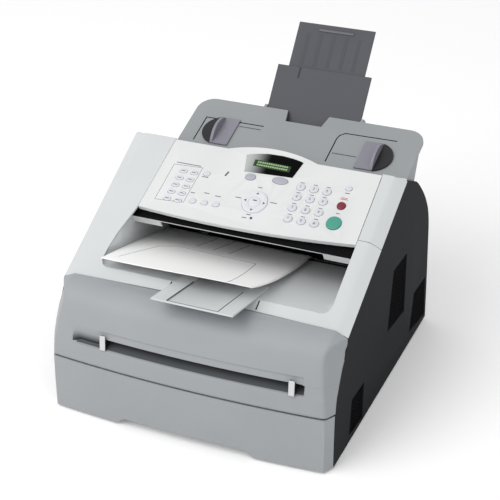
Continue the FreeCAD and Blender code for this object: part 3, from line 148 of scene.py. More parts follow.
def on_line(value: Array, line: Sequence[Place]) -> Array:
    """Second numbers of a line of pairs at given first numbers, straight between the pairs."""
    first, second = np.array(line).T
    return np.interp(value, first, second)


def spread(x: Array, y: Array, z: Array) -> Array:
    """Points from three arrays of coordinates that are spread over each other."""
    return np.stack(np.broadcast_arrays(x, y, z), -1)


@dataclass(frozen=True)
class Slope:
    """Tilted plane of the drawing frame, with its own (x, up the slope, off the plane) places."""

    y: float
    z: float
    angle: float

    @property
    def turn(self) -> Place:
        """Cosine and sine of the slope's angle."""
        return math.cos(math.radians(self.angle)), math.sin(math.radians(self.angle))

    def lift(self, local: Array) -> Array:
        """Drawing-frame points of places on the slope.

        Args:
            local: Places (x, up the slope, off the plane).

        Returns:
            The points.
        """
        c, s = self.turn
        x, u, n = np.moveaxis(np.asarray(local, float), -1, 0)
        return np.stack([x, self.y + u * c - n * s, self.z + u * s + n * c], -1)

    def local(self, points: Array) -> Array:
        """Places on the slope of drawing-frame points.

        Args:
            points: Points (x, y, z).

        Returns:
            The places.
        """
        c, s = self.turn
        x, y, z = np.moveaxis(np.asarray(points, float) - [0.0, self.y, self.z], -1, 0)
        return np.stack([x, y * c + z * s, z * c - y * s], -1)

    def height(self, y: Array) -> Array:
        """Height of the plane at depth y."""
        return self.z + math.tan(math.radians(self.angle)) * (np.asarray(y, float) - self.y)

    def up(self, y: float) -> float:
        """Distance up the slope of a depth."""
        return (y - self.y) / self.turn[0]

    def step(self, y: float, drop: float, angle: float) -> Slope:
        """Another slope that starts below this one at depth y."""
        return Slope(y, float(self.height(y)) - drop, angle)


TOP = Slope(y=59.2, z=163.7, angle=27.96)
SHELF = TOP.step(y=256.0, drop=12.2, angle=18.0)
LEAF = SHELF.step(y=355.5, drop=0.3, angle=50.0)


@dataclass
class Shell:
    """Points and faces of one surface, with the number of its finish, or one number for each face."""

    points: Array
    faces: Faces
    tone: int | Array = 0


def grid_faces(rows: int, columns: int, wrap: bool = False) -> Array:
    """Four-cornered faces between neighbouring points of a grid.

    Args:
        rows: Points along the first parameter.
        columns: Points along the second parameter.
        wrap: Whether the last column joins the first.

    Returns:
        One row of four point numbers for each face.
    """
    index = np.arange(rows * columns).reshape(rows, columns)
    if wrap:
        index = np.concatenate([index, index[:, :1]], 1)
    return np.stack([index[:-1, :-1], index[:-1, 1:], index[1:, 1:], index[1:, :-1]], -1).reshape(-1, 4)


def grid_shell(points: Array, keep: Array | None = None, tone: int | Array = 0) -> Shell:
    """Surface through a grid of points, without the faces that keep leaves out.

    Args:
        points: Rows by columns by three.
        keep: True for each face that stays, rows - 1 by columns - 1.
        tone: Number of the finish, or one for each face of the whole grid.

    Returns:
        The surface.
    """
    rows, columns = points.shape[:2]
    faces = grid_faces(rows, columns)
    tones = np.broadcast_to(tone, (rows - 1, columns - 1)).reshape(-1)
    if keep is not None:
        faces = faces[keep.reshape(-1)]
        tones = tones[keep.reshape(-1)]
    return Shell(points.reshape(-1, 3), faces.tolist(), tones)


def ring_shell(rings: Array, tone: int = 0) -> Shell:
    """Closed solid through rings of points, with its first and last ring filled.

    Args:
        rings: Levels by points by three, each ring turning the same way.
        tone: Number of the finish.

    Returns:
        The solid's surface.
    """
    levels, count = rings.shape[:2]
    faces = grid_faces(levels, count, wrap=True).tolist()
    last = (levels - 1) * count
    faces.append(list(range(count))[::-1])
    faces.append(list(range(last, last + count)))
    return Shell(rings.reshape(-1, 3), faces, tone)


def raised(outlines: Array, heights: Sequence[float], slope: Slope, tone: int = 0) -> Shell:
    """Solid on a slope through outlines, each at its height.

    Args:
        outlines: One outline of points (x, u) for all heights, or one for each, turning left.
        heights: Heights off the slope.
        slope: Plane that it stands on.
        tone: Number of the finish.

    Returns:
        The solid's surface.
    """
    flat = np.broadcast_to(outlines, (len(heights), *np.shape(outlines)[-2:]))
    high = np.array(heights, float)[:, None]
    return ring_shell(slope.lift(spread(flat[..., 0], flat[..., 1], high)), tone)


def inset_ring(outline: Array, inset: float, sharpest: float = 0.3) -> Array:
    """Outline moved inwards along the mean of its neighbouring edges' normals.

    Args:
        outline: Points turning left.
        inset: How far its edges move.
        sharpest: Least share of the mean along an edge's normal that is made up for.

    Returns:
        The moved points.
    """
    ahead = np.roll(outline, -1, 0) - outline
    ahead = ahead / np.maximum(np.linalg.norm(ahead, axis=1, keepdims=True), 1e-9)
    normal = np.stack([-ahead[:, 1], ahead[:, 0]], -1)
    mean = normal + np.roll(normal, 1, 0)
    mean = mean / np.maximum((mean * normal).sum(1, keepdims=True), sharpest)
    return outline + inset * mean


def rounded_outline(corners: Sequence[Place], radius: float, steps: int = 6, most: float = 0.45) -> Array:
    """Polygon whose corners are rounded by quadratic curves that start a radius before each corner.

    Args:
        corners: Corner points, turning left.
        radius: How far from the corner the rounding starts.
        steps: Points on each corner, less one.
        most: Largest share of an edge that a corner takes.

    Returns:
        The outline's points.
    """
    middle = np.asarray(corners, float)
    before = np.roll(middle, 1, 0) - middle
    after = np.roll(middle, -1, 0) - middle
    size_before = np.linalg.norm(before, axis=1, keepdims=True)
    size_after = np.linalg.norm(after, axis=1, keepdims=True)
    start = middle + before / size_before * np.minimum(radius, most * size_before)
    end = middle + after / size_after * np.minimum(radius, most * size_after)
    t = np.linspace(0.0, 1.0, steps + 1)[None, :, None]
    curve = (1 - t) ** 2 * start[:, None] + 2 * t * (1 - t) * middle[:, None] + t ** 2 * end[:, None]
    return curve.reshape(-1, 2)


def slab(outline: Array, heights: Place, edge: float, slope: Slope) -> Shell:
    """Plate with a rounded upper edge: its outline is carried up, then in round a quarter circle.

    Args:
        outline: Points (x, u) turning left.
        heights: Heights of its underside and its upper side off the slope.
        edge: Radius of the upper edge.
        slope: Plane that it lies on.

    Returns:
        The plate's surface.
    """
    low, high = heights
    turn = np.linspace(0.0, QUARTER, 5)
    insets = np.concatenate([[0.0], edge * (1 - np.cos(turn))])
    levels = np.concatenate([[low], high - edge + edge * np.sin(turn)])
    return raised(np.array([inset_ring(outline, inset) for inset in insets]), levels, slope)


def bar(middle: Place, size: Place, heights: Place, slope: Slope, tone: int = 0) -> Shell:
    """Thin bar on a slope: a rectangle carried from one height to another.

    Args:
        middle: Its middle (x, u).
        size: Its width and its depth up the slope.
        heights: Heights of its underside and its upper side off the slope.
        slope: Plane that it lies on.
        tone: Number of the finish.

    Returns:
        The bar's surface.
    """
    turns = np.array([[-1.0, -1.0], [1.0, -1.0], [1.0, 1.0], [-1.0, 1.0]])
    return raised(np.array(middle) + turns * np.array(size) / 2, heights, slope, tone)


def ellipse(size: Place, count: int = 40) -> Array:
    """Points of an ellipse of two half sizes about the origin, turning left."""
    t = np.linspace(0.0, 2 * math.pi, count, endpoint=False)
    return np.column_stack([size[0] * np.cos(t), size[1] * np.sin(t)])


def arc_through(a: Place | Array, b: Place | Array, c: Place | Array, count: int) -> Array:
    """Points of the circular arc from a through b to c.

    Args:
        a: First point.
        b: Point on the way.
        c: Last point.
        count: Number of points.

    Returns:
        The points, evenly spaced in angle.
    """
    pa, pb, pc = (np.array(p, float) for p in (a, b, c))
    matrix = 2 * np.array([pb - pa, pc - pa])
    centre = np.linalg.solve(matrix, np.array([pb @ pb - pa @ pa, pc @ pc - pa @ pa]))
    angles = np.unwrap([math.atan2(*(p - centre)[::-1]) for p in (pa, pb, pc)])
    t = np.linspace(angles[0], angles[2], count)
    return centre + np.linalg.norm(pa - centre) * np.column_stack([np.cos(t), np.sin(t)])


@dataclass(frozen=True)
class Wiring:
    """Node tree of a material, a world or a group, with short ways to add to it."""

    tree: bpy.types.NodeTree

    def add(self, kind: str, inputs: Values | None = None, **settings: object) -> bpy.types.Node:
        """New node.

        Args:
            kind: Type of the node.
            inputs: Socket that feeds each input, or the input's value.
            settings: The node's own settings, made before its inputs.

        Returns:
            The node.
        """
        node = self.tree.nodes.new(kind)
        for name, value in settings.items():
            setattr(node, name, value)
        self.feed(node, inputs or {})
        return node

    def feed(self, node: bpy.types.Node, inputs: Values) -> None:
        """Links or sets the inputs of a node.

        Args:
            node: The node.
            inputs: Socket that feeds each input, or the input's value.
        """
        for label, value in inputs.items():
            if isinstance(value, bpy.types.NodeSocket):
                self.tree.links.new(value, node.inputs[label])
            else:
                node.inputs[label].default_value = value


class Effects:
    """Shader node groups that several finishes share."""

    FINE_DETAIL = 2.0
    SLOW_DETAIL = 3.0
    SLOW_SCALE = 14.0
    SLOW_SPAN = (0.3, 0.7)
    GRAIN_ROUGHNESS = 0.14
    EDGE_SPAN = (0.52, 0.62)

    @staticmethod
    def _group(name: str, inputs: dict[str, object],
               outputs: Sequence[str]) -> tuple[Wiring, bpy.types.NodeOutputs, bpy.types.Node]:
        """Empty node group with its sockets.

        Args:
            name: Name of the group.
            inputs: Default of each input, four numbers for a colour.
            outputs: Label of each output, a colour where the input of that label is one.

        Returns:
            The group's wiring, what it is given, and its output node.
        """
        tree = bpy.data.node_groups.new(name, "ShaderNodeTree")
        colors = [label for label, value in inputs.items() if isinstance(value, tuple)]
        for way, labels in (("INPUT", inputs), ("OUTPUT", outputs)):
            for label in labels:
                kind = "NodeSocketColor" if label in colors else "NodeSocketFloat"
                socket = tree.interface.new_socket(label, in_out=way, socket_type=kind)
                if way == "INPUT":
                    socket.default_value = inputs[label]
        given = tree.nodes.new("NodeGroupInput").outputs
        return Wiring(tree), given, tree.nodes.new("NodeGroupOutput")

    @classmethod
    def grain(cls) -> bpy.types.NodeTree:
        """Fine moulded grain with slow changes of tone, from two noises on object coordinates.

        Returns:
            The group, made once.
        """
        name = "Moulded grain"
        if name in bpy.data.node_groups:
            return bpy.data.node_groups[name]
        wires, given, out = cls._group(
            name, {"Color": (0.5, 0.5, 0.5, 1.0), "Scale": 900.0, "Mottle": 0.04, "Roughness": 0.45},
            ("Color", "Roughness", "Height"))
        place = wires.add("ShaderNodeTexCoord").outputs["Object"]
        fine = wires.add("ShaderNodeTexNoise", {
            "Vector": place, "Scale": given["Scale"], "Detail": cls.FINE_DETAIL}).outputs["Fac"]
        slow = wires.add("ShaderNodeTexNoise", {
            "Vector": place, "Scale": cls.SLOW_SCALE, "Detail": cls.SLOW_DETAIL}).outputs["Fac"]
        low = wires.add("ShaderNodeMath", {0: 1.0, 1: given["Mottle"]}, operation="SUBTRACT")
        tone = wires.add("ShaderNodeMapRange", {
            "Value": slow, "From Min": cls.SLOW_SPAN[0], "From Max": cls.SLOW_SPAN[1],
            "To Min": low.outputs[0], "To Max": 1.0})
        shade = wires.add("ShaderNodeVectorMath", {
            0: given["Color"], "Scale": tone.outputs["Result"]}, operation="SCALE")
        rough = wires.add("ShaderNodeMath", {
            0: fine, 1: cls.GRAIN_ROUGHNESS, 2: given["Roughness"]}, operation="MULTIPLY_ADD")
        wires.feed(out, {"Color": shade.outputs[0], "Roughness": rough.outputs[0], "Height": fine})
        return wires.tree

    @classmethod
    def painted_edge_highlight(cls) -> bpy.types.NodeTree:
        """Painted highlight on edges: a lighter colour mixed in where the surface is pointed.

        Returns:
            The group, made once.
        """
        name = "Rubbed edges"
        if name in bpy.data.node_groups:
            return bpy.data.node_groups[name]
        wires, given, out = cls._group(
            name, {"Color": (0.5, 0.5, 0.5, 1.0), "Rubbed": (0.8, 0.8, 0.8, 1.0), "Amount": 0.2}, ("Color",))
        mask = wires.add("ShaderNodeMapRange", {
            "Value": wires.add("ShaderNodeNewGeometry").outputs["Pointiness"],
            "From Min": cls.EDGE_SPAN[0], "From Max": cls.EDGE_SPAN[1]})
        share = wires.add("ShaderNodeMath", {
            0: mask.outputs["Result"], 1: given["Amount"]}, operation="MULTIPLY")
        mix = wires.add("ShaderNodeMix", {
            "Factor": share.outputs[0], "A": given["Color"], "B": given["Rubbed"]}, data_type="RGBA")
        wires.feed(out, {"Color": mix.outputs["Result"]})
        return wires.tree


@dataclass(frozen=True)
class Finish:
    """Colour, gloss and grain of one material."""

    name: str
    slot: str
    color: Triple
    look: Look = Look.PLAIN
    roughness: float = 0.42
    grain: float = 0.05
    scale: float = 1400.0
    mottle: float = 0.035
    # Share of the painted edge highlight, a lighter colour mixed in at pointed edges; the lift and gain below
    # make that colour
    edge_highlight: float = 0.10
    gloss: float = 0.32
    grain_depth: float = 0.4
    highlight_lift: float = 20.0
    highlight_gain: float = 1.12

    def material(self) -> bpy.types.Material:
        """Material with the shared grain and a painted highlight on its pointed edges.

        Returns:
            The material, made once.
        """
        if self.name in bpy.data.materials:
            return bpy.data.materials[self.name]
        made = bpy.data.materials.new(self.name)
        made.use_nodes = True
        wires = Wiring(made.node_tree)
        grain = wires.add("ShaderNodeGroup", {
            "Color": linear(self.color), "Scale": self.scale, "Mottle": self.mottle,
            "Roughness": self.roughness}, node_tree=Effects.grain())
        # Lighter colour of the painted highlight on pointed edges
        highlight_color = tuple(min(255.0, self.highlight_lift + self.highlight_gain * c) for c in self.color)
        lit_edges = wires.add("ShaderNodeGroup", {
            "Color": grain.outputs["Color"], "Rubbed": linear(highlight_color),
            "Amount": self.edge_highlight}, node_tree=Effects.painted_edge_highlight())
        bump = wires.add("ShaderNodeBump", {
            "Strength": self.grain, "Distance": self.grain_depth * MM, "Height": grain.outputs["Height"]})
        wires.feed(made.node_tree.nodes["Principled BSDF"], {
            "Base Color": self.tint(wires, lit_edges.outputs["Color"]),
            "Metallic": float(self.look is Look.METAL),
            "Roughness": grain.outputs["Roughness"],
            "Specular IOR Level": self.gloss,
            "Normal": bump.outputs["Normal"],
            **self.glow()})
        return made

    def tint(self, wires: Wiring, color: bpy.types.NodeSocket) -> bpy.types.NodeSocket:
        """Colour as it comes; a special finish changes it here."""
        return color

    def glow(self) -> Values:
        """No light of its own; a lit finish gives its inputs here."""
        return {}


@dataclass(frozen=True)
class FadedFinish(Finish):
    """Finish that fades from another colour at one place along an axis to its own at another; it paints shade
    in the feed scoop and a reflection on the display lens.
    """

    axis: str = "X"
    start: float = 0.0
    stop: float = 10.0
    other: Triple = (128.0, 128.0, 128.0)

    def tint(self, wires: Wiring, color: bpy.types.NodeSocket) -> bpy.types.NodeSocket:
        """Mix of the other colour and the own one along the axis.

        Args:
            wires: The material's wiring.
            color: The own colour.

        Returns:
            The mixed colour.
        """
        place = wires.add("ShaderNodeTexCoord").outputs["Object"]
        fade = wires.add("ShaderNodeMapRange", {
            "Value": wires.add("ShaderNodeSeparateXYZ", {0: place}).outputs[self.axis],
            "From Min": self.start * MM, "From Max": self.stop * MM}, interpolation_type="SMOOTHSTEP")
        mix = wires.add("ShaderNodeMix", {
            "Factor": fade.outputs["Result"], "A": linear(self.other), "B": color}, data_type="RGBA")
        return mix.outputs["Result"]


@dataclass(frozen=True)
class LitDisplay(Finish):
    """Backlit green display."""

    strength: float = 0.35

    def glow(self) -> Values:
        """A faint glow of its own colour."""
        return {"Emission Color": linear(self.color), "Emission Strength": self.strength}


class Finishes:
    """Every finish of the machine."""

    COVER = Finish("cover light", "cover_light", (203, 206, 207))
    PANEL = Finish("panel white", "panel_white", (212, 214, 214), roughness=0.36, grain=0.03)
    # Grey of the front cover and the cassette: partly their own slightly darker grey, partly painted shade on
    # the front faces
    FRONT_SHADED = Finish("front grey", "cover_grey", (155, 158, 161))
    # Painted shade in the left scoop of the feed recess: darker towards the bottom, fading to the front grey
    # at the top
    SCOOP_SHADED = FadedFinish("scoop grey", "cover_grey", (155, 158, 161),
                        axis="Z", start=102.0, stop=119.0, other=(30, 31, 34))
    # Painted shade on the feed ramp under the lip: a flat dark grey
    RAMP_SHADED = Finish("ramp grey", "cover_grey", (84, 87, 90))
    # Black that stands for shade: inside the feed slot, in the gap under the cover seam and in the document
    # exit slot
    SHADE_BLACK = Finish("throat black", "inner_dark", (9, 9, 11), roughness=0.7, gloss=0.1)
    SIDE = Finish("side charcoal", "side_dark", (25, 28, 30), roughness=0.5, grain=0.10, gloss=0.05)
    LOUVRE = Finish("louvre black", "side_dark", (6, 6, 8), roughness=0.6, gloss=0.015)
    TRAY = Finish("tray grey", "tray_grey", (146, 150, 152), grain=0.06)
    # Painted shade of grooves, notches and slots: dark lines and bars laid where the recesses are
    GROOVE_SHADE = Finish("tray groove", "tray_grey", (46, 48, 52), roughness=0.6)
    LEAF = Finish("leaf grey", "support_grey", (79, 80, 85), grain=0.06, gloss=0.2)
    LEAF_RIB = Finish("leaf rib grey", "support_grey", (73, 74, 79), grain=0.06, gloss=0.2)
    LEAF_LIP = Finish("leaf lip grey", "support_grey", (104, 104, 110), grain=0.06, gloss=0.2)
    GUIDE = Finish("guide grey", "guide_grey", (132, 131, 141), roughness=0.38)
    GUIDE_DARK = Finish("guide black", "guide_grey", (24, 24, 28), roughness=0.35)
    KEY = Finish("key grey", "key_grey", (206, 208, 214), roughness=0.32, grain=0.02)
    PAD = Finish("pad grey", "key_grey", (212, 214, 218), roughness=0.34, grain=0.02)
    SOFT_KEY = Finish("soft key grey", "key_grey", (166, 169, 178), roughness=0.32, grain=0.02)
    START = Finish("start green", "key_green", (72, 150, 134), roughness=0.30, grain=0.02)
    STOP = Finish("stop red", "key_red", (122, 36, 55), roughness=0.30, grain=0.02)
    INK = Finish("grey ink", "key_grey", (92, 96, 108), roughness=0.6, grain=0.0, edge_highlight=0.0)
    INK_RED = Finish("red ink", "key_red", (178, 70, 88), roughness=0.6, grain=0.0, edge_highlight=0.0)
    LAMP = Finish("lamp blue", "key_grey", (52, 48, 120), roughness=0.25, grain=0.0, edge_highlight=0.0)
    # Smoked lens with a painted reflection: pale at its left, fading to near black towards its right
    LENS_REFLECTION = FadedFinish("smoked lens", "window_clear", (4, 5, 4), roughness=0.08, grain=0.0, edge_highlight=0.0,
                       gloss=0.05, axis="X", start=-20.0, stop=12.0, other=(176, 181, 180))
    DISPLAY = LitDisplay("display green", "display_green", (28, 50, 24), roughness=0.2, grain=0.0, edge_highlight=0.0)
    DISPLAY_TEXT = LitDisplay("display text", "display_green", (132, 160, 114), roughness=0.3, grain=0.0,
                              edge_highlight=0.0)
    PAPER = Finish("paper", "paper", (246, 247, 246), roughness=0.75, grain=0.08, scale=2600.0, edge_highlight=0.0)
    PAPER_INK = Finish("paper ink", "paper", (168, 171, 176), roughness=0.75, grain=0.0, edge_highlight=0.0)
    STEEL = Finish("plated steel", "frame_steel", (186, 188, 190), Look.METAL, roughness=0.34, grain=0.02)
    RUBBER = Finish("roller rubber", "roller_rubber", (34, 34, 35), roughness=0.72, grain=0.12, gloss=0.2)
    METAL = Finish("turned metal", "roller_metal", (196, 198, 200), Look.METAL, roughness=0.26, grain=0.02)
    DRUM = Finish("drum coating", "drum_green", (46, 110, 98), roughness=0.16, grain=0.0)
    INNER = Finish("inner black", "inner_dark", (40, 41, 43), roughness=0.55)
    BOARD = Finish("circuit board", "board_green", (20, 54, 33), roughness=0.45, grain=0.04)
    SENSOR = Finish("sensor black", "sensor_black", (22, 22, 26), roughness=0.18, grain=0.0)


@dataclass
class Workshop:
    """The loaded frame, and the making of pieces that ride on its bodies."""

    frame: dict
    body_of: dict[str, str]
    merge: float = 0.001
    flat_angle: float = 0.5
    wall_clamp: float = 2.0

    @classmethod
    def open(cls) -> Workshop:
        """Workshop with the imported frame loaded.

        Returns:
            The workshop, which knows each node's body.
        """
        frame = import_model()
        members = frame["record"]["behaviour"]["bodies"]
        return cls(frame, {node: body for body, nodes in members.items() for node in nodes})

    def piece(self, name: str, shells: list[Shell], finishes: list[Finish], body: str,
              replaces: tuple[str, ...] = (), sharp: float = 40.0) -> bpy.types.Object:
        """One object from several surfaces, riding on a body.

        Args:
            name: Name of the piece.
            shells: Its surfaces.
            finishes: Its finishes, in the order of the surfaces' tone numbers.
            body: Body that it rides on.
            replaces: Nodes that it stands for.
            sharp: Angle in degrees above which an edge stays sharp.

        Returns:
            The object.
        """
        starts = np.cumsum([0] + [len(shell.points) for shell in shells[:-1]])
        faces = [[corner + int(start) for corner in face]
                 for shell, start in zip(shells, starts) for face in shell.faces]
        tones = np.concatenate([np.broadcast_to(shell.tone, len(shell.faces)) for shell in shells])
        mesh = bpy.data.meshes.new(name)
        points = to_row(np.concatenate([shell.points for shell in shells]))
        mesh.from_pydata(points.tolist(), [], faces)
        mesh.polygons.foreach_set("material_index", tones.astype(np.int32))
        return self.place(name, mesh, finishes, body, replaces, sharp)

    def place(self, name: str, mesh: bpy.types.Mesh, finishes: list[Finish], body: str,
              replaces: tuple[str, ...], sharp: float) -> bpy.types.Object:
        """Object of a finished mesh, dressed and riding on a body.

        Args:
            name: Name of the piece.
            mesh: Its mesh, with a finish's number on each face.
            finishes: Its finishes.
            body: Body that it rides on.
            replaces: Nodes that it stands for.
            sharp: Angle in degrees above which an edge stays sharp.

        Returns:
            The object.
        """
        for finish in finishes:
            mesh.materials.append(finish.material())
        mesh.shade_smooth()
        mesh.set_sharp_from_angle(angle=math.radians(sharp))
        made = bpy.data.objects.new(name, mesh)
        bpy.context.scene.collection.objects.link(made)
        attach(made, body)
        if replaces:
            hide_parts(*replaces)
        LOG.info("piece %s on %s", name, body)
        return made

    def softened(self, node: str, name: str, finish: Finish, width: float = 0.6, segments: int = 2,
                 second: Finish | None = None, mask: Mask | None = None,
                 cut: float | None = None) -> bpy.types.Object:
        """Copy of a node with its flat faces joined and its edges rounded, in the node's place.

        Args:
            node: Node that it stands for.
            name: Name of the piece.
            finish: Its finish.
            width: Width of the rounded edges in millimetres.
            segments: Faces across an edge.
            second: Finish of the faces that the mask picks.
            mask: Picks faces by their middles in the drawing frame and their normals.
            cut: Place across the machine where faces are split first.

        Returns:
            The object.
        """
        work = bmesh.new()
        work.from_mesh(self.frame["nodes"][node].data)
        bmesh.ops.remove_doubles(work, verts=work.verts, dist=self.merge * MM)
        bmesh.ops.dissolve_limit(work, angle_limit=math.radians(self.flat_angle), verts=work.verts,
                                 edges=work.edges)
        if cut is not None:
            bmesh.ops.bisect_plane(work, geom=[*work.verts, *work.edges, *work.faces],
                                   plane_co=(cut * MM, 0.0, 0.0), plane_no=(1.0, 0.0, 0.0))
        mesh = bpy.data.meshes.new(name)
        work.to_mesh(mesh)
        work.free()
        finishes = [finish]
        picked = np.zeros(len(mesh.polygons), np.int32)
        if second and mask:
            finishes.append(second)
            flat = np.empty((2, len(mesh.polygons) * 3))
            mesh.polygons.foreach_get("center", flat[0])
            mesh.polygons.foreach_get("normal", flat[1])
            middles, normals = flat.reshape(2, -1, 3)
            picked = mask(middles / MM + ROW_ORIGIN, normals).astype(np.int32)
        mesh.polygons.foreach_set("material_index", picked)
        made = self.place(name, mesh, finishes, self.body_of[node], (node,), BEVEL_ANGLE)
        self.round_edges(made, width, segments)
        return made

    @staticmethod
    def round_edges(made: bpy.types.Object, width: float, segments: int = 2,
                    angle: float = BEVEL_ANGLE) -> None:
        """Rounded edges by a modifier, with even shading on the flat faces.

        Args:
            made: The piece.
            width: Width of the rounded edges in millimetres.
            segments: Faces across an edge.
            angle: Angle in degrees above which an edge is rounded.
        """
        bevel = made.modifiers.new("Rounded edges", "BEVEL")
        bevel.width = width * MM
        bevel.segments = segments
        bevel.limit_method = "ANGLE"
        bevel.angle_limit = math.radians(angle)
        bevel.harden_normals = True

    def thicken(self, made: bpy.types.Object, thickness: float) -> None:
        """Wall of even thickness behind the outer surface, by a modifier.

        Args:
            made: The piece.
            thickness: Thickness of the wall in millimetres.
        """
        solid = made.modifiers.new("Wall", "SOLIDIFY")
        solid.thickness = thickness * MM
        solid.offset = -1.0
        solid.use_even_offset = True
        solid.thickness_clamp = self.wall_clamp

    def dress(self, node: str, finish: Finish) -> None:
        """New material on a node that keeps its shape.

        Args:
            node: The node.
            finish: Its finish.
        """
        data = self.frame["nodes"][node].data
        data.materials.clear()
        data.materials.append(finish.material())
        data.polygons.foreach_set("material_index", np.zeros(len(data.polygons), np.int32))


@dataclass(frozen=True)
class PhotoCamera:
    """Camera at the photograph's viewpoint, with focal length and frame width in pixels."""

    place: Triple = (640.41, -1197.98, 1053.07)
    azimuth: float = 24.57
    elevation: float = 30.22
    roll: float = -1.47
    focal: float = 1400.29
    frame_width: float = 500.0
    sensor: float = 36.0
    far: float = 50000.0

    def build(self) -> None:
        """Makes the camera and gives it to the scene."""
        az, el, roll = (math.radians(a) for a in (self.azimuth, self.elevation, self.roll))
        back = np.array([math.sin(az) * math.cos(el), -math.cos(az) * math.cos(el), math.sin(el)])
        right = np.array([math.cos(az), math.sin(az), 0.0])
        up = np.cross(back, right)
        turned_right = math.cos(roll) * right + math.sin(roll) * up
        turned_up = -math.sin(roll) * right + math.cos(roll) * up
        data = bpy.data.cameras.new("photo_camera")
        data.sensor_width = self.sensor
        data.sensor_height = self.sensor
        data.lens = self.focal / self.frame_width * self.sensor
        data.clip_end = self.far * MM
        camera = bpy.data.objects.new("photo_camera", data)
        bpy.context.scene.collection.objects.link(camera)
        axes = np.column_stack([turned_right, turned_up, back])
        turn = Matrix(axes.tolist()).to_4x4()
        camera.matrix_world = Matrix.Translation(Vector(to_row(np.array(self.place)))) @ turn
        bpy.context.scene.camera = camera


@dataclass(frozen=True)
class Studio:
    """Pale floor, white surround and two soft lamps at the front left, in metres of the row frame."""

    floor_half: float = 6.0
    floor_tone: float = 0.93
    floor_roughness: float = 0.85
    floor_gloss: float = 0.1
    floor_glow: float = 0.14
    sky: float = 0.76
    key_power: float = 24.0
    key_size: float = 1.6
    key_place: Triple = (-0.75, -1.3, 1.85)
    fill_power: float = 2.0
    fill_size: float = 1.4
    fill_place: Triple = (-0.7, -2.1, 1.35)
    target: Triple = (0.0, 0.0, 0.15)

    def build(self) -> None:
        """Makes the floor, the surround and the lamps."""
        scene = bpy.context.scene
        scene.view_settings.view_transform = "Standard"
        self._floor()
        self._surround(scene)
        self._lamp("key_light", self.key_place, self.key_power, self.key_size)
        self._lamp("fill_light", self.fill_place, self.fill_power, self.fill_size)

    def _floor(self) -> None:
        """Large pale floor that keeps the machine's shadow."""
        h = self.floor_half
        mesh = bpy.data.meshes.new("floor")
        mesh.from_pydata([(-h, -h, 0.0), (h, -h, 0.0), (h, h, 0.0), (-h, h, 0.0)], [], [(0, 1, 2, 3)])
        made = bpy.data.materials.new("floor white")
        made.use_nodes = True
        wires = Wiring(made.node_tree)
        glow = wires.add("ShaderNodeMath", {0: self._seen(wires), 1: self.floor_glow}, operation="MULTIPLY")
        wires.feed(made.node_tree.nodes["Principled BSDF"], {
            "Base Color": (self.floor_tone, self.floor_tone, self.floor_tone, 1.0),
            "Roughness": self.floor_roughness,
            "Specular IOR Level": self.floor_gloss,
            "Emission Color": WHITE,
            "Emission Strength": glow.outputs[0]})
        mesh.materials.append(made)
        floor = bpy.data.objects.new("floor", mesh)
        bpy.context.scene.collection.objects.link(floor)

    def _surround(self, scene: bpy.types.Scene) -> None:
        """White to the camera and in reflections, softer as a light.

        Args:
            scene: Scene that it surrounds.
        """
        world = bpy.data.worlds.new("surround")
        scene.world = world
        world.use_nodes = True
        wires = Wiring(world.node_tree)
        level = wires.add("ShaderNodeMapRange", {
            "Value": self._seen(wires), "To Min": self.sky, "To Max": 1.0})
        wires.feed(world.node_tree.nodes["Background"], {
            "Color": WHITE, "Strength": level.outputs["Result"]})

    @staticmethod
    def _seen(wires: Wiring) -> bpy.types.NodeSocket:
        """One for rays that the camera sees straight, mirrored or through glass, and else nought.

        Args:
            wires: Wiring of the material or the world.

        Returns:
            The value's socket.
        """
        path = wires.add("ShaderNodeLightPath")
        seen = path.outputs["Is Camera Ray"]
        for ray in ("Is Glossy Ray", "Is Transmission Ray"):
            either = wires.add("ShaderNodeMath", {0: seen, 1: path.outputs[ray]}, operation="MAXIMUM")
            seen = either.outputs[0]
        return seen

    def _lamp(self, name: str, place: Triple, power: float, size: float) -> None:
        """Square soft lamp turned to the machine.

        Args:
            name: Name of the lamp.
            place: Where it hangs.
            power: Its power in watts.
            size: Length of its side.
        """
        data = bpy.data.lights.new(name, "AREA")
        data.energy = power
        data.size = size
        lamp = bpy.data.objects.new(name, data)
        lamp.location = place
        aim = Vector(self.target) - Vector(place)
        lamp.rotation_euler = aim.to_track_quat("-Z", "Y").to_euler()
        bpy.context.scene.collection.objects.link(lamp)


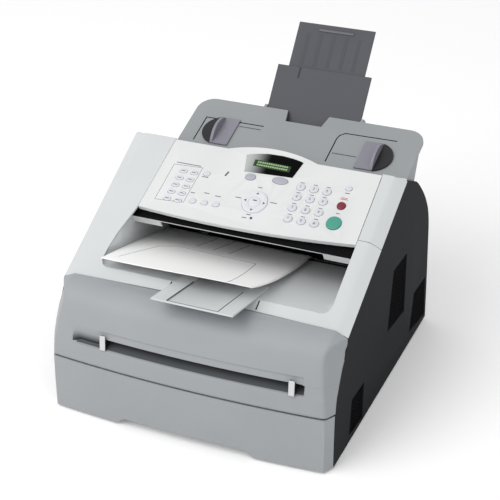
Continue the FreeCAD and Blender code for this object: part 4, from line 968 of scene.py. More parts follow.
@dataclass
class FrontCover:
    """Bowed cover above the cassette, with the manual feed recess and its two guides.

    Profile points are (depth, height), and the side cover's front edge is (height, depth).
    """

    shop: Workshop
    foot: Place = (-4.3, 77.6)
    low: Place = (-3.0, 88.0)
    belly: Place = (2.5, 116.0)
    shoulder: Place = (14.0, 144.0)
    brow: Place = (24.5, 157.0)
    crown: Place = (44.0, 165.0)
    bow_radius: float = 1954.0
    side_front: tuple[Place, ...] = ((3.0, 14.0), (40.0, 15.5), (77.0, 18.3), (97.0, 23.0), (112.0, 30.5),
                                     (127.0, 39.5), (138.5, 48.0), (149.0, 54.5), (157.0, 55.9))
    corner_rate: float = 1.8
    corner_round: float = 3.0
    seam_mid: float = 61.0
    seam_end: float = 57.0
    seam_half: float = 190.0
    ear_width: float = 15.0
    ear_round: float = 0.1
    ear_start: float = 125.0
    ear_rise: float = 40.0
    ear_drop: float = 7.3
    feed_half: float = 153.0
    feed_bottom: float = 101.0
    feed_lip: float = 114.75
    feed_top: float = 124.0
    feed_depth: float = 26.0
    feed_round: float = 0.05
    ramp_round: float = 0.03
    lip_edge: float = 0.1
    setback: float = 1.6
    setback_run: float = 1.2
    setback_rate: float = 1.5
    slot_low: float = 109.0
    slot_edge: float = 0.2
    left_run: float = 12.0
    right_run: float = 7.0
    scoop_end: float = -108.0
    scoop_run: float = 6.0
    scoop_depth: float = 7.0
    scoop_floor: float = 103.2
    scoop_power: float = 1.2
    scoop_round: float = 0.1
    ramp_shade: float = 2.5
    scoop_shade: float = 0.5
    near_rows: tuple[float, ...] = (-1.6, -0.8, -0.3, 0.0, 0.3, 0.8, 1.6)
    wide_end: float = 130.0
    wall: float = 2.6
    throat_ends: Place = (-147.0, 149.0)
    throat_roof: tuple[Place, Place] = ((7.2, 115.4), (39.0, 119.0))
    throat_floor: tuple[Place, Place] = ((25.5, 107.9), (39.0, 108.4))
    guide_edge: float = 1.2
    guide_back: float = 8.0
    guide_turn: float = 0.3

    def bow(self, x: Array) -> Array:
        """How far the front falls back beside the middle."""
        return x ** 2 / (2 * self.bow_radius)

    def seam_y(self, x: Array) -> Array:
        """Depth of the seam with the top cover."""
        return self.seam_mid - (self.seam_mid - self.seam_end) * (x / self.seam_half) ** 2

    def profile(self) -> Array:
        """Middle profile from the foot to the crown: two arcs, with rows close together round the recess.

        Returns:
            Points (y, z).
        """
        face = arc_through(self.low, self.belly, self.shoulder, count=400)
        edges = [self.feed_bottom, self.scoop_floor, self.slot_low, self.feed_lip, self.feed_top]
        heights = joined(np.linspace(self.low[1], self.feed_bottom - 1.0, 8),
                         np.add.outer(edges, self.near_rows).reshape(-1),
                         np.linspace(self.feed_bottom + 1.5, self.feed_top - 1.0, 14),
                         np.linspace(self.feed_top + 1.5, self.shoulder[1], 10))
        lower = np.column_stack([np.interp(heights, face[:, 1], face[:, 0]), heights])
        foot = np.linspace(np.array(self.foot), np.array(self.low), 5)[:-1]
        upper = arc_through(self.shoulder, self.brow, self.crown, count=16)[1:]
        return np.concatenate([foot, lower, upper])

    def ends(self, x: Array) -> Array:
        """Share of the recess's depth along it: nought at its ends and one between, with straight runs.

        Args:
            x: Places across the machine.

        Returns:
            The shares.
        """
        left, right = (self.feed_half + x) / self.left_run, (self.feed_half - x) / self.right_run
        share = smooth_min(left, right, self.feed_round)
        return np.clip(smooth_min(share, 1.0, self.feed_round), 0.0, 1.0)

    def recess(self, x: Array, z: Array) -> Array:
        """Depth of the feed recess: a ramp up to the slot, a band set back above it, a scoop at the left.

        Args:
            x: Places across the machine.
            z: Heights.

        Returns:
            How far the skin lies behind its bowed face.
        """
        ends = self.ends(x)
        ramp = smooth_min((z - self.feed_bottom) / (self.slot_low - self.feed_bottom), 1.0, self.feed_round)
        share = smooth_max(smooth_min(ramp, ends, self.feed_round), 0.0, self.ramp_round)
        band = smooth_step((self.feed_top - z) / self.setback_run) * smooth_step(self.setback_rate * ends)
        deep = np.where(z < self.feed_lip - self.lip_edge, self.feed_depth * np.clip(share, 0.0, 1.0),
                        self.setback * band)
        fall = np.clip((self.feed_top - z) / (self.feed_top - self.scoop_floor), 0.0, 1.0) ** self.scoop_power
        rise = (z - self.feed_bottom) / (self.scoop_floor - self.feed_bottom)
        hollow = np.maximum(smooth_min(fall, rise, self.scoop_round), 0.0)
        scoop = self.scoop_depth * hollow * smooth_step(ends)
        return deep + (scoop - deep) * smooth_step((self.scoop_end - x) / self.scoop_run)

    def skin(self) -> tuple[Array, Array]:
        """Profile rows bowed across the machine, run back to the seam and rounded into the sides.

        Returns:
            The grid of points, and the recess's depth at each.
        """
        right = joined(np.linspace(0.0, self.wide_end, 34),
                       np.linspace(self.wide_end + 2.0, self.feed_half + 2.0, 28),
                       np.linspace(self.feed_half + 4.0, HALF_WIDTH, 32))
        x = np.concatenate([-right[:0:-1], right])[None, :]
        rows = self.profile()
        last = np.linspace(0.0, 1.0, 7)[1:, None]
        seam = self.seam_y(x) - SEAM
        y = rows[:, :1] + self.bow(x)
        z = rows[:, 1:] + 0.0 * x
        level = np.zeros((len(last), x.shape[1]))
        deep = np.concatenate([self.recess(x, z), level])
        y = np.concatenate([y, y[-1:] + last * (seam - y[-1:])])
        z = np.concatenate([z, level + self.crown[1]])
        side = on_line(z, self.side_front) - SEAM
        y = smooth_max(y, side - self.corner_rate * (HALF_WIDTH - np.abs(x)), self.corner_round)
        y = np.minimum(y, np.maximum(seam, side)) + deep
        ear = smooth_max((np.abs(x) - HALF_WIDTH + self.ear_width) / self.ear_width, 0.0, self.ear_round)
        z = z - self.ear_drop * ear * smooth_step((z - self.ear_start) / self.ear_rise)
        return spread(x, y, z), deep

    def build(self) -> None:
        """Cover skin with the slot left open, painted shade on its ramp and scoop, and a wall behind, then
        the throat and the guides.
        """
        points, deep = self.skin()
        middle = 0.25 * (points[:-1, :-1] + points[1:, :-1] + points[:-1, 1:] + points[1:, 1:])
        sunk = 0.5 * (deep[:-1, :-1] + deep[1:, 1:])
        across, height = middle[..., 0], middle[..., 2]
        between = (across > self.scoop_end) & (across < self.feed_half - self.right_run)
        slot = between & (height > self.slot_low + self.slot_edge) & (height < self.feed_lip)
        # Ramp faces get the dark grey of painted shade, scoop faces the painted shade that darkens towards
        # the bottom
        ramp = (sunk > self.ramp_shade) & (height < self.feed_lip)
        scoop = (across < self.scoop_end) & (height > self.scoop_floor) & (height < self.feed_top)
        tones = np.where(scoop & (sunk > self.scoop_shade), 2, ramp.astype(int))
        cover = self.shop.piece("front_cover_skin", [grid_shell(points, ~slot, tones)],
                                [Finishes.FRONT_SHADED, Finishes.RAMP_SHADED, Finishes.SCOOP_SHADED], "front_cover",
                                ("front_cover",), SKIN_SHARP)
        self.shop.thicken(cover, self.wall)
        self._throat()
        self._guides()

    def _throat(self) -> None:
        """Roof and floor of the slot behind the skin, black as painted shade inside the slot: two-point
        profiles carried along the bow.
        """
        x = np.linspace(*self.throat_ends, 50)[None, :]
        shells = []
        for line in (self.throat_roof, self.throat_floor):
            y, z = np.array(line).T[..., None]
            shells.append(grid_shell(spread(x, y + self.bow(x), z)))
        throat = self.shop.piece("feed_throat", shells, [Finishes.SHADE_BLACK], "front_cover")
        self.shop.thicken(throat, LINING)

    def _guides(self) -> None:
        """Paper guides on the ramp: upright fins with rounded fronts and dark backs."""
        for side in Side:
            name = "manual_guide_" + side.name.lower()
            self.shop.softened(name, name + "_fin", Finishes.COVER, self.guide_edge, segments=3,
                               second=Finishes.GUIDE_DARK, mask=self._guide_backs)

    def _guide_backs(self, middle: Array, normal: Array) -> Array:
        """True for a guide's faces that turn back or lie behind its front."""
        return (normal[:, 1] > self.guide_turn) | (middle[:, 1] > self.guide_back)


@dataclass
class TopCover:
    """Sloping top round the output tray, with its bevelled sides and the upper unit's end cap.

    The left strip's inner edge is a line of (depth, place across), and the side cover's upper edge
    runs between two points (depth, height).
    """

    shop: Workshop
    front: FrontCover
    tray_left: float = -142.0
    tray_right: float = 157.0
    tray_front: float = 74.7
    left_line: tuple[Place, ...] = ((74.0, -147.0), (100.0, -146.0), (123.0, -142.6), (142.0, -137.5),
                                    (156.0, -133.6), (254.0, -125.1))
    side_low: Place = (55.9, 157.0)
    side_high: Place = (262.0, 262.5)
    corner: float = 12.0
    bevel: float = 15.0
    bevel_round: float = 1.2
    bevel_share: float = 0.06
    flat_end: float = 256.0
    rear_bulge: Place = (4.4, -8.6)
    rear_foot: Place = (6.0, -18.2)
    reach: float = 4.0
    reach_run: float = 16.0
    tuck: float = 1.2
    cap_y: float = 169.0
    cap_gap: float = 0.2
    wall: float = 2.6
    edge: float = 1.4
    edge_angle: float = 55.0
    merge: float = 0.02
    strip_half: float = 170.0
    strip_rows: tuple[float, ...] = (-3.0, 0.0, 4.0)
    strip_drop: float = 0.9

    def rows(self) -> Array:
        """Profile up the slope from the tray's front and round the rear edge by an arc.

        Returns:
            Points (y, z).
        """
        start = self.tray_front + self.corner
        flat = joined(eased(self.tray_front, self.corner), np.linspace(start, self.flat_end, 36))
        end = np.array([self.flat_end, float(TOP.height(self.flat_end))])
        rear = arc_through(end, end + self.rear_bulge, end + self.rear_foot, count=9)
        return np.concatenate([np.column_stack([flat, TOP.height(flat)]), rear[1:]])

    def bevelled(self, x: Array, y: Array, z: Array) -> Array:
        """Height with the side bevel: the lower of the top and a plane that falls to the side cover's edge.

        Args:
            x: Places across the machine.
            y: Depths.
            z: Heights without the bevel.

        Returns:
            The heights.
        """
        low, high = self.side_low, self.side_high
        edge = low[1] + (high[1] - low[1]) * (y - low[0]) / (high[0] - low[0])
        share = (np.abs(x) - (HALF_WIDTH - self.bevel)) / self.bevel
        plane = TOP.height(y) - (TOP.height(y) - edge) * share
        return smooth_min(z, plane, self.bevel_round)

    def rounding(self, y: Array) -> Array:
        """How far the tray's opening is narrowed by its round front corners at a depth."""
        ahead = np.clip(self.corner - (y - self.tray_front), 0.0, self.corner)
        return self.corner - np.sqrt(np.maximum(self.corner ** 2 - ahead ** 2, 0.0))

    def left_edge(self, y: Array) -> Array:
        """Inner edge of the left strip beside the tray and then beside the panel."""
        return on_line(y, self.left_line) + self.rounding(y)

    def right_edge(self, y: Array) -> Array:
        """Inner edge of the right strip."""
        return self.tray_right - self.rounding(y)

    def columns(self, inner: float) -> Array:
        """Places across a strip from its inner edge (0) to the side (1), close together at the bevel.

        Args:
            inner: Distance of the inner edge from the machine's middle.

        Returns:
            The places.
        """
        flat = 1.0 - self.bevel / (HALF_WIDTH - inner)
        before, after = flat - self.bevel_share, flat + self.bevel_share
        return joined(np.linspace(0.0, before, 8), np.linspace(before, after, 7), np.linspace(after, 1.0, 6))

    def strip(self, inner: Array, rows: Array, side: Side) -> Array:
        """Side strip from its inner edge to the machine's side, whose outer rear corner reaches further back.

        Args:
            inner: Place across of the inner edge at each row.
            rows: Profile (y, z).
            side: Side that it lies on.

        Returns:
            The grid of points, from left to right.
        """
        depth = rows[:, :1]
        share = self.columns(float(np.abs(inner).min()))[None, :]
        behind = smooth_step((depth - self.flat_end) / self.tuck)
        x = np.abs(inner)[:, None] * (1 - share) + (HALF_WIDTH - self.tuck * behind) * share
        late = smooth_step((depth - self.flat_end + self.reach_run) / self.reach_run)
        y = depth + self.reach * late * smooth_step((x - HALF_WIDTH + self.bevel) / self.bevel)
        z = self.bevelled(x, y, rows[:, 1:] + TOP.height(y) - TOP.height(depth))
        grid = spread(x * side.value, y, z)
        return grid if side is Side.RIGHT else grid[:, ::-1]

    def front_strip(self, left: Array, right: Array) -> Array:
        """Strip between the seam and the tray: straight rows from the seam's curve to the tray's front.

        Args:
            left: Places across of the left strip's first row.
            right: Places across of the right strip's first row.

        Returns:
            The grid of points.
        """
        x = np.concatenate([left, np.linspace(left[-1], right[0], 30)[1:-1], right])[None, :]
        share = np.linspace(0.0, 1.0, 6)[:, None]
        y = (self.front.seam_y(x) + SEAM) * (1 - share) + self.tray_front * share
        return spread(x, y, self.bevelled(x, y, TOP.height(y)))

    def build(self) -> None:
        """Left, front and right strips as one cover, the black strip of painted shade under the seam, and the
        end cap behind.
        """
        rows = self.rows()
        left = self.strip(self.left_edge(rows[:, 0]), rows, Side.LEFT)
        stop = self.cap_y - SEAM
        before = np.concatenate([rows[rows[:, 0] < stop], [[stop, float(TOP.height(stop))]]])
        right = self.strip(self.right_edge(before[:, 0]), before, Side.RIGHT)
        front = self.front_strip(left[0, :, 0], right[0, :, 0])
        cover = self.shop.piece("top_cover_skin", [grid_shell(grid) for grid in (left, front, right)],
                                [Finishes.COVER], "chassis", ("top_cover",), SKIN_SHARP)
        self._close(cover)
        self._seam()
        cap_start = [[self.cap_y, float(TOP.height(self.cap_y))]]
        behind = np.concatenate([cap_start, rows[rows[:, 0] > self.cap_y]])
        cap_grid = self.strip(np.full(len(behind), self.tray_right + self.cap_gap), behind, Side.RIGHT)
        cap = self.shop.piece("end_cap_skin", [grid_shell(cap_grid)], [Finishes.COVER], "chassis",
                              ("upper_end_cap",), SKIN_SHARP)
        self._close(cap)

    def _seam(self) -> None:
        """Black strip under the seam with the front cover, painted shade in the gap: a level band carried
        along the seam's curve.
        """
        x = np.linspace(-self.strip_half, self.strip_half, 60)[None, :]
        y = self.front.seam_y(x) + np.array(self.strip_rows)[:, None]
        grid = spread(x, y, np.array(self.front.crown[1] - self.wall - self.strip_drop))
        strip = self.shop.piece("seam_strip", [grid_shell(grid)], [Finishes.SHADE_BLACK], "chassis")
        self.shop.thicken(strip, LINING)

    def _close(self, made: bpy.types.Object) -> None:
        """Joined strips with a wall and rounded edges.

        Args:
            made: The piece.
        """
        work = bmesh.new()
        work.from_mesh(made.data)
        bmesh.ops.remove_doubles(work, verts=work.verts, dist=self.merge * MM)
        work.to_mesh(made.data)
        work.free()
        self.shop.thicken(made, self.wall)
        self.shop.round_edges(made, self.edge, segments=3, angle=self.edge_angle)


@dataclass
class OutputTray:
    """Sunk tray with filleted walls, its extension and the sheet coming out.

    Places of the print are shares (across, along) of the sheet that has come out.
    """

    shop: Workshop
    top: TopCover
    front: float = 75.0
    rear: float = 246.0
    fall: float = 0.21
    extension_y: float = 79.8
    extension_z: float = 173.7
    extension_edge: float = 0.35
    sunk: float = 2.8
    fillet: float = 16.0
    fillet_share: float = 0.98
    least_wall: float = 0.1
    skin: float = 2.6
    wall: float = 2.0
    line_x: Place = (-20.3, 45.3)
    line_ends: Place = (10.6, 82.0)
    line_width: float = 1.1
    line_heights: Place = (-0.6, 0.08)
    tip_x: float = 12.5
    tip_ends: Place = (10.0, 11.0)
    tip_width: float = 64.0
    notch_x: Place = (-46.0, 69.5)
    notch_u: float = 10.5
    notch_size: Place = (1.8, 13.0)
    notch_heights: Place = (-1.0, 0.1)
    sheet_left: float = -139.5
    sheet_width: float = 210.0
    sheet_rear: float = 240.0
    sheet_fronts: Place = (68.0, 52.0)
    sheet_low: float = 142.4
    sheet_highs: Place = (188.0, 202.0)
    sheet_curl: float = 0.45
    sheet_power: float = 2.2
    sheet_wall: float = 0.25
    ink_heights: Place = (-0.05, 0.12)
    frame_path: tuple[Place, ...] = ((0.071, 0.889), (0.162, 0.478), (0.248, 0.389), (0.771, 0.378),
                                     (0.838, 0.995))
    frame_width: float = 1.0
    rule_x: Triple = (0.38, 0.495, 0.6)
    rule_ends: Place = (0.04, 0.3)
    rule_lean: float = 0.04
    rule_width: float = 1.2

    def extension_plane(self, y: Array) -> Array:
        """Height of the extension's upper side at a depth."""
        return self.extension_z - self.fall * (y - self.extension_y)

    def build(self) -> None:
        """Trough, extension with its dark lines of painted groove shade, painted shade in the notches beside
        it, and the sheet.
        """
        tray = self.shop.piece("output_trough", [grid_shell(self.trough())], [Finishes.COVER], "chassis",
                               ("output_tray",), CURVED_SHARP)
        self.shop.thicken(tray, self.wall)
        self.shop.softened("output_extension", "output_extension_plate", Finishes.COVER, self.extension_edge)
        # Dark lines and bars of painted shade in the extension's grooves and the notches beside it
        lines = [self._groove(x, self.line_ends, self.line_width) for x in self.line_x]
        lines.append(self._groove(self.tip_x, self.tip_ends, self.tip_width))
        self.shop.piece("extension_lines", lines, [Finishes.GROOVE_SHADE], "output_extension")
        notches = [bar((x, self.notch_u), self.notch_size, self.notch_heights, TOP) for x in self.notch_x]
        self.shop.piece("extension_notches", notches, [Finishes.GROOVE_SHADE], "chassis")
        self._sheet()

    def trough(self) -> Array:
        """Wall, quarter-round, floor, quarter-round and wall at each depth, as round as the wall allows.

        Returns:
            The grid of points.
        """
        top = self.top
        y = joined(eased(self.front, top.corner),
                   np.linspace(self.front + top.corner, self.rear, 56))[:, None]
        floor = self.extension_plane(y) - self.sunk
        high = np.maximum(TOP.height(y) - self.skin / TOP.turn[0], floor + self.least_wall)
        r = np.minimum(self.fillet, self.fillet_share * (high - floor))
        turn = np.linspace(0.0, QUARTER, 9)[None, :]
        inward, upward = r * (1 - np.cos(turn)), floor + r * (1 - np.sin(turn))
        across = np.linspace(0.0, 1.0, 24)[None, 1:-1]
        x0 = np.minimum(top.left_edge(y), top.tray_left + top.rounding(y))
        x1 = top.right_edge(y)
        middle = x0 + r + across * (x1 - x0 - 2 * r)
        x = np.concatenate([x0, x0 + inward, middle, x1 - inward[:, ::-1], x1], 1)
        z = np.concatenate([high, upward, floor + 0.0 * across, upward[:, ::-1], high], 1)
        return spread(x, y, z)

    def _groove(self, x: float, ends: Place, width: float) -> Shell:
        """Dark line on the extension, painted shade of a groove: a flat four-cornered profile carried between
        two depths.

        Args:
            x: Its middle across the machine.
            ends: Depths of its ends.
            width: Its width.

        Returns:
            The line's surface.
        """
        y = np.array(ends)[:, None]
        side = x + width / 2 * np.array([-1.0, 1.0, 1.0, -1.0])
        z = self.extension_plane(y) + np.repeat(self.line_heights, 2)
        return ring_shell(spread(side, y, z)[:, ::-1])

    def sheet_point(self, across: Array, along: Array) -> Array:
        """Place on the sheet: a straight left edge and a right edge that curls up, blended across its width.

        Args:
            across: Share of the width, from the left.
            along: Share of the length, from the rear.

        Returns:
            The points.
        """
        y0, y1 = (self.sheet_rear + (front - self.sheet_rear) * along for front in self.sheet_fronts)
        curled = (1 - self.sheet_curl) * along + self.sheet_curl * along ** self.sheet_power
        left_z, right_z = (self.sheet_low + (high - self.sheet_low) * share
                           for high, share in zip(self.sheet_highs, (along, curled)))
        share = smooth_step(across) * 0.5 + across * 0.5
        x = self.sheet_left + self.sheet_width * across
        return spread(x, y0 + (y1 - y0) * across, left_z + (right_z - left_z) * share)

    def _ink(self, a: Place, b: Place, width: float) -> Shell:
        """Printed line on the sheet: a flat four-cornered profile carried between two places on it.

        Args:
            a: First place (across, along).
            b: Last place.
            width: Width of the line.

        Returns:
            The line's surface.
        """
        share = np.linspace(0.0, 1.0, 16)[:, None]
        path = np.array(a) * (1 - share) + np.array(b) * share
        points = self.sheet_point(path[:, 0], path[:, 1])
        side = np.cross(np.gradient(points, axis=0), [0.0, 0.0, 1.0])
        side *= width / 2 / np.linalg.norm(side, axis=1, keepdims=True)
        low, high = (np.array([0.0, 0.0, rise]) for rise in self.ink_heights)
        left, right = points - side, points + side
        rings = np.stack([left + low, right + low, right + high, left + high], 1)
        return ring_shell(rings[:, ::-1])

    def _sheet(self) -> None:
        """Sheet coming out, with the plain frame and lines printed on it."""
        grid = self.sheet_point(np.linspace(0.0, 1.0, 30)[None, :], np.linspace(0.0, 1.0, 40)[:, None])
        sheet = self.shop.piece("printed_page", [grid_shell(grid[:, ::-1])], [Finishes.PAPER],
                                "printed_sheet", ("printed_sheet",), CURVED_SHARP)
        self.shop.thicken(sheet, self.sheet_wall)
        lines = [self._ink(a, b, self.frame_width) for a, b in zip(self.frame_path, self.frame_path[1:])]
        first, last = self.rule_ends
        lines += [self._ink((x, first), (x - self.rule_lean, last), self.rule_width) for x in self.rule_x]
        self.shop.piece("printed_lines", lines, [Finishes.PAPER_INK], "printed_sheet")


@dataclass(frozen=True)
class KeyCap:
    """Key with a node of its own: its middle (x, depth), its half sizes, its height and its finish."""

    node: str
    middle: Place
    size: Place
    high: float
    finish: Finish


@dataclass
class ControlPanel:
    """Panel shell, keys, display and the marks printed round them.

    Keys are placed by (x, depth). The window and the print are placed by (x, distance up the panel).
    """

    shop: Workshop
    plate: float = 2.5
    shell_edge: float = 0.5
    key_foot: float = -3.4
    key_edge: float = 0.7
    dome_sizes: Triple = (0.6, 0.3, 0.05)
    dome_rises: Triple = (0.55, 0.9, 1.0)
    low_dome: float = 0.35
    high_dome: float = 0.6
    dial_x: Triple = (63.0, 80.5, 97.5)
    dial_y: tuple[float, ...] = (220.5, 207.0, 192.5, 178.0)
    dial_names: tuple[str, ...] = ("1", "2", "3", "4", "5", "6", "7", "8", "9", "star", "0", "hash")
    dial_size: Place = (5.6, 4.9)
    dial_high: float = 1.4
    figure_size: float = 5.4
    figure_high: float = 1.78
    figure_rise: float = 0.04
    single_keys: tuple[KeyCap, ...] = (
        KeyCap("start_key", (120.8, 183.2), (9.5, 9.5), 1.6, Finishes.START),
        KeyCap("stop_key", (121.7, 206.3), (5.5, 5.5), 1.6, Finishes.STOP),
        KeyCap("soft_key_left", (-5.4, 222.0), (7.0, 5.0), 1.2, Finishes.SOFT_KEY),
        KeyCap("soft_key_right", (34.0, 223.8), (10.5, 5.2), 1.2, Finishes.SOFT_KEY))
    function_keys: tuple[Place, ...] = ((-65.8, 177.5), (-50.0, 178.1), (-34.2, 178.6), (-63.3, 215.8))
    function_size: Place = (4.8, 3.6)
    option_key: Place = (122.7, 229.7)
    option_size: Place = (4.2, 3.4)
    function_high: float = 1.0
    speed_start: Place = (-95.0, 213.8)
    speed_step: Place = (-1.25, -9.775)
    speed_rows: int = 5
    speed_columns: Place = (0.0, 14.8)
    speed_size: Place = (5.4, 3.2)
    speed_high: float = 0.8
    speed_mark: Place = (5.2, 0.9)
    speed_mark_heights: Place = (1.0, 1.22)
    pad_middle: Place = (13.4, 191.0)
    pad_sizes: tuple[float, ...] = (16.5, 16.5, 16.2, 15.6, 9.0, 8.4, 7.9, 7.4, 6.8, 3.0, 0.4)
    pad_heights: tuple[float, ...] = (-3.4, 0.5, 0.95, 1.2, 1.25, 0.9, 0.45, 0.9, 1.3, 1.5, 1.5)
    arrow: tuple[Place, ...] = ((14.2, 0.0), (11.2, 2.0), (11.2, -2.0))
    arrow_heights: Place = (1.1, 1.32)
    pad_mark_up: float = 1.8
    pad_mark: Place = (5.0, 1.6)
    pad_mark_heights: Place = (1.3, 1.62)
    lens_corners: tuple[Place, ...] = ((-16.3, 191.0), (47.7, 194.0), (54.0, 219.0), (40.5, 221.9),
                                       (25.0, 223.4), (5.4, 222.8), (-10.0, 220.0), (-22.5, 216.0))
    lens_round: float = 3.0
    lens_high: float = 0.75
    lens_edge: float = 0.5
    strip_corners: tuple[Place, ...] = ((-8.5, 201.2), (41.2, 200.4), (40.9, 209.4), (-8.8, 211.2))
    strip_round: float = 0.8
    strip_heights: Place = (0.5, 0.78)
    strip_edge: float = 0.05
    sign_rows: Place = (208.0, 204.0)
    sign_start: float = -3.0
    sign_step: float = 3.0
    sign_count: int = 14
    sign_lean: float = 0.012
    sign_size: Place = (2.2, 2.3)
    sign_heights: Place = (0.7, 0.80)
    ink_heights: Place = (-0.1, 0.05)
    frame_corners: tuple[Place, ...] = ((-111.5, 183.0), (-71.8, 184.9), (-76.8, 129.4), (-115.8, 126.6))
    frame_width: float = 0.5
    dashes: tuple[Triple, ...] = (
        (-92.0, 186.6, 34.0), (-63.5, 172.0, 9.0), (-70.0, 146.0, 6.0), (-52.0, 149.0, 7.0),
        (-36.0, 147.5, 8.0), (12.6, 171.4, 6.0), (12.3, 129.9, 6.0), (-9.4, 151.4, 8.0),
        (37.3, 153.0, 9.0), (8.2, 124.6, 6.0), (123.0, 186.1, 6.0), (120.9, 155.2, 5.0))
    dash_depth: float = 1.1
    dial_dash: Place = (5.4, 0.9)
    dial_dash_up: float = 6.9
    red_dashes: tuple[tuple[Place, Place], ...] = (((121.8, 176.6), (10.0, 1.0)),
                                                   ((121.8, 178.6), (8.0, 0.9)))
    stroke: tuple[Place, Place] = ((-38.6, 179.0), (-36.0, 186.4))
    stroke_width: float = 2.4
    lamp: Place = (17.2, 125.6)
    lamp_size: Place = (1.7, 1.7)
    lamp_high: float = 0.4
    lamp_dome: float = 0.2

    @staticmethod
    def on_panel(middle: Place) -> Place:
        """Place (x, distance up the panel) of a place (x, depth)."""
        return middle[0], TOP.up(middle[1])

    def key_shell(self, middle: Place, size: Place, high: float, dome: float, tone: int = 0) -> Shell:
        """Domed key: ellipses that narrow over a rounded edge and close over a low dome.

        Args:
            middle: Its middle (x, u).
            size: Its two half sizes.
            high: Height of its edge off the panel.
            dome: Rise of its dome.
            tone: Number of the finish.

        Returns:
            The key's surface.
        """
        turn = np.linspace(0.0, QUARTER, 6)[1:]
        edge = min(self.key_edge, 0.5 * high)
        sizes = np.concatenate([[1.0, 1.0], 1.0 - edge / min(size) * (1 - np.cos(turn)), self.dome_sizes])
        heights = np.concatenate([[self.key_foot, high - edge], high - edge + edge * np.sin(turn),
                                  high + dome * np.array(self.dome_rises)])
        return raised(np.array(middle) + ellipse(size) * sizes[:, None, None], heights, TOP, tone)

    def figure(self, text: str, middle: Place) -> Shell:
        """Flat raised figure on a dial key, from a text curve made a mesh, in the second finish.

        Args:
            text: The figure.
            middle: Its middle (x, u).

        Returns:
            The figure's surface.
        """
        curve = bpy.data.curves.new("figure", "FONT")
        curve.body = text
        curve.size = self.figure_size
        curve.extrude = self.figure_rise
        curve.align_x = "CENTER"
        curve.align_y = "CENTER"
        holder = bpy.data.objects.new("figure", curve)
        bpy.context.scene.collection.objects.link(holder)
        bpy.context.view_layer.update()
        mesh = bpy.data.meshes.new_from_object(holder)
        flat = np.empty(len(mesh.vertices) * 3)
        mesh.vertices.foreach_get("co", flat)
        local = flat.reshape(-1, 3) + np.array([*middle, self.figure_high])
        faces = [list(face.vertices) for face in mesh.polygons]
        bpy.data.objects.remove(holder)
        bpy.data.curves.remove(curve)
        bpy.data.meshes.remove(mesh)
        return Shell(TOP.lift(local), faces, tone=1)

    def build(self) -> None:
        """Panel shell, then keys, window and print."""
        self.shop.softened("control_panel", "panel_shell", Finishes.PANEL, self.shell_edge)
        self._dial()
        self._others()
        self._pad()
        self._window()
        self._print()

    def _dial(self) -> None:
        """Twelve oval dial keys with plain figures."""
        marks = {"star": "*", "hash": "#"}
        for index, name in enumerate(self.dial_names):
            row, column = divmod(index, len(self.dial_x))
            middle = self.on_panel((self.dial_x[column], self.dial_y[row]))
            cap = self.key_shell(middle, self.dial_size, self.dial_high, self.low_dome)
            node = "dial_key_" + name
            self.shop.piece(node + "_cap", [cap, self.figure(marks.get(name, name), middle)],
                            [Finishes.KEY, Finishes.INK], node, (node,))

    def _others(self) -> None:
        """Start, stop, soft, function and speed-dial keys."""
        for key in self.single_keys:
            shell = self.key_shell(self.on_panel(key.middle), key.size, key.high, self.high_dome)
            self.shop.piece(key.node + "_cap", [shell], [key.finish], key.node, (key.node,))
        places = [(middle, self.function_size) for middle in self.function_keys]
        places.append((self.option_key, self.option_size))
        shells = [self.key_shell(self.on_panel(middle), size, self.function_high, self.low_dome)
                  for middle, size in places]
        self.shop.piece("function_key_caps", shells, [Finishes.KEY], "function_keys", ("function_keys",))
        shells = []
        for row in range(self.speed_rows):
            x, y = np.array(self.speed_start) + row * np.array(self.speed_step)
            for shift in self.speed_columns:
                middle = self.on_panel((x + shift, y))
                shells.append(self.key_shell(middle, self.speed_size, self.speed_high, self.low_dome))
                shells.append(bar(middle, self.speed_mark, self.speed_mark_heights, TOP, tone=1))
        self.shop.piece("speed_key_caps", shells, [Finishes.KEY, Finishes.INK], "speed_dial_keys",
                        ("speed_dial_keys",))

    def _pad(self) -> None:
        """Round pad: circles over a groove and a raised middle, with four arrows and a mark."""
        middle = np.array(self.on_panel(self.pad_middle))
        circles = middle + ellipse((1.0, 1.0), count=64) * np.array(self.pad_sizes)[:, None, None]
        shells = [raised(circles, self.pad_heights, TOP)]
        for angle in np.radians([0.0, 90.0, 180.0, 270.0]):
            c, s = math.cos(angle), math.sin(angle)
            turned = np.array(self.arrow) @ np.array([[c, s], [-s, c]]) + middle
            shells.append(raised(turned, self.arrow_heights, TOP, tone=1))
        mark = middle + [0.0, self.pad_mark_up]
        shells.append(bar(mark, self.pad_mark, self.pad_mark_heights, TOP, tone=1))
        self.shop.piece("navigation_pad", shells, [Finishes.PAD, Finishes.INK], "navigation_key",
                        ("navigation_key",))

    def _window(self) -> None:
        """Smoked window with rounded corners and a painted reflection, pale at its left, and the lit display
        strip let into it.
        """
        outline = rounded_outline(self.lens_corners, self.lens_round)
        lens = slab(outline, (-self.plate, self.lens_high), self.lens_edge, TOP)
        self.shop.piece("display_lens", [lens], [Finishes.LENS_REFLECTION], "control_panel", ("lcd_window",))
        strip = rounded_outline(self.strip_corners, self.strip_round)
        shells = [slab(strip, self.strip_heights, self.strip_edge, TOP)]
        for up in self.sign_rows:
            for x in self.sign_start + self.sign_step * np.arange(self.sign_count):
                sign = (x, up - self.sign_lean * x)
                shells.append(bar(sign, self.sign_size, self.sign_heights, TOP, tone=1))
        self.shop.piece("display_strip", shells, [Finishes.DISPLAY, Finishes.DISPLAY_TEXT], "control_panel")

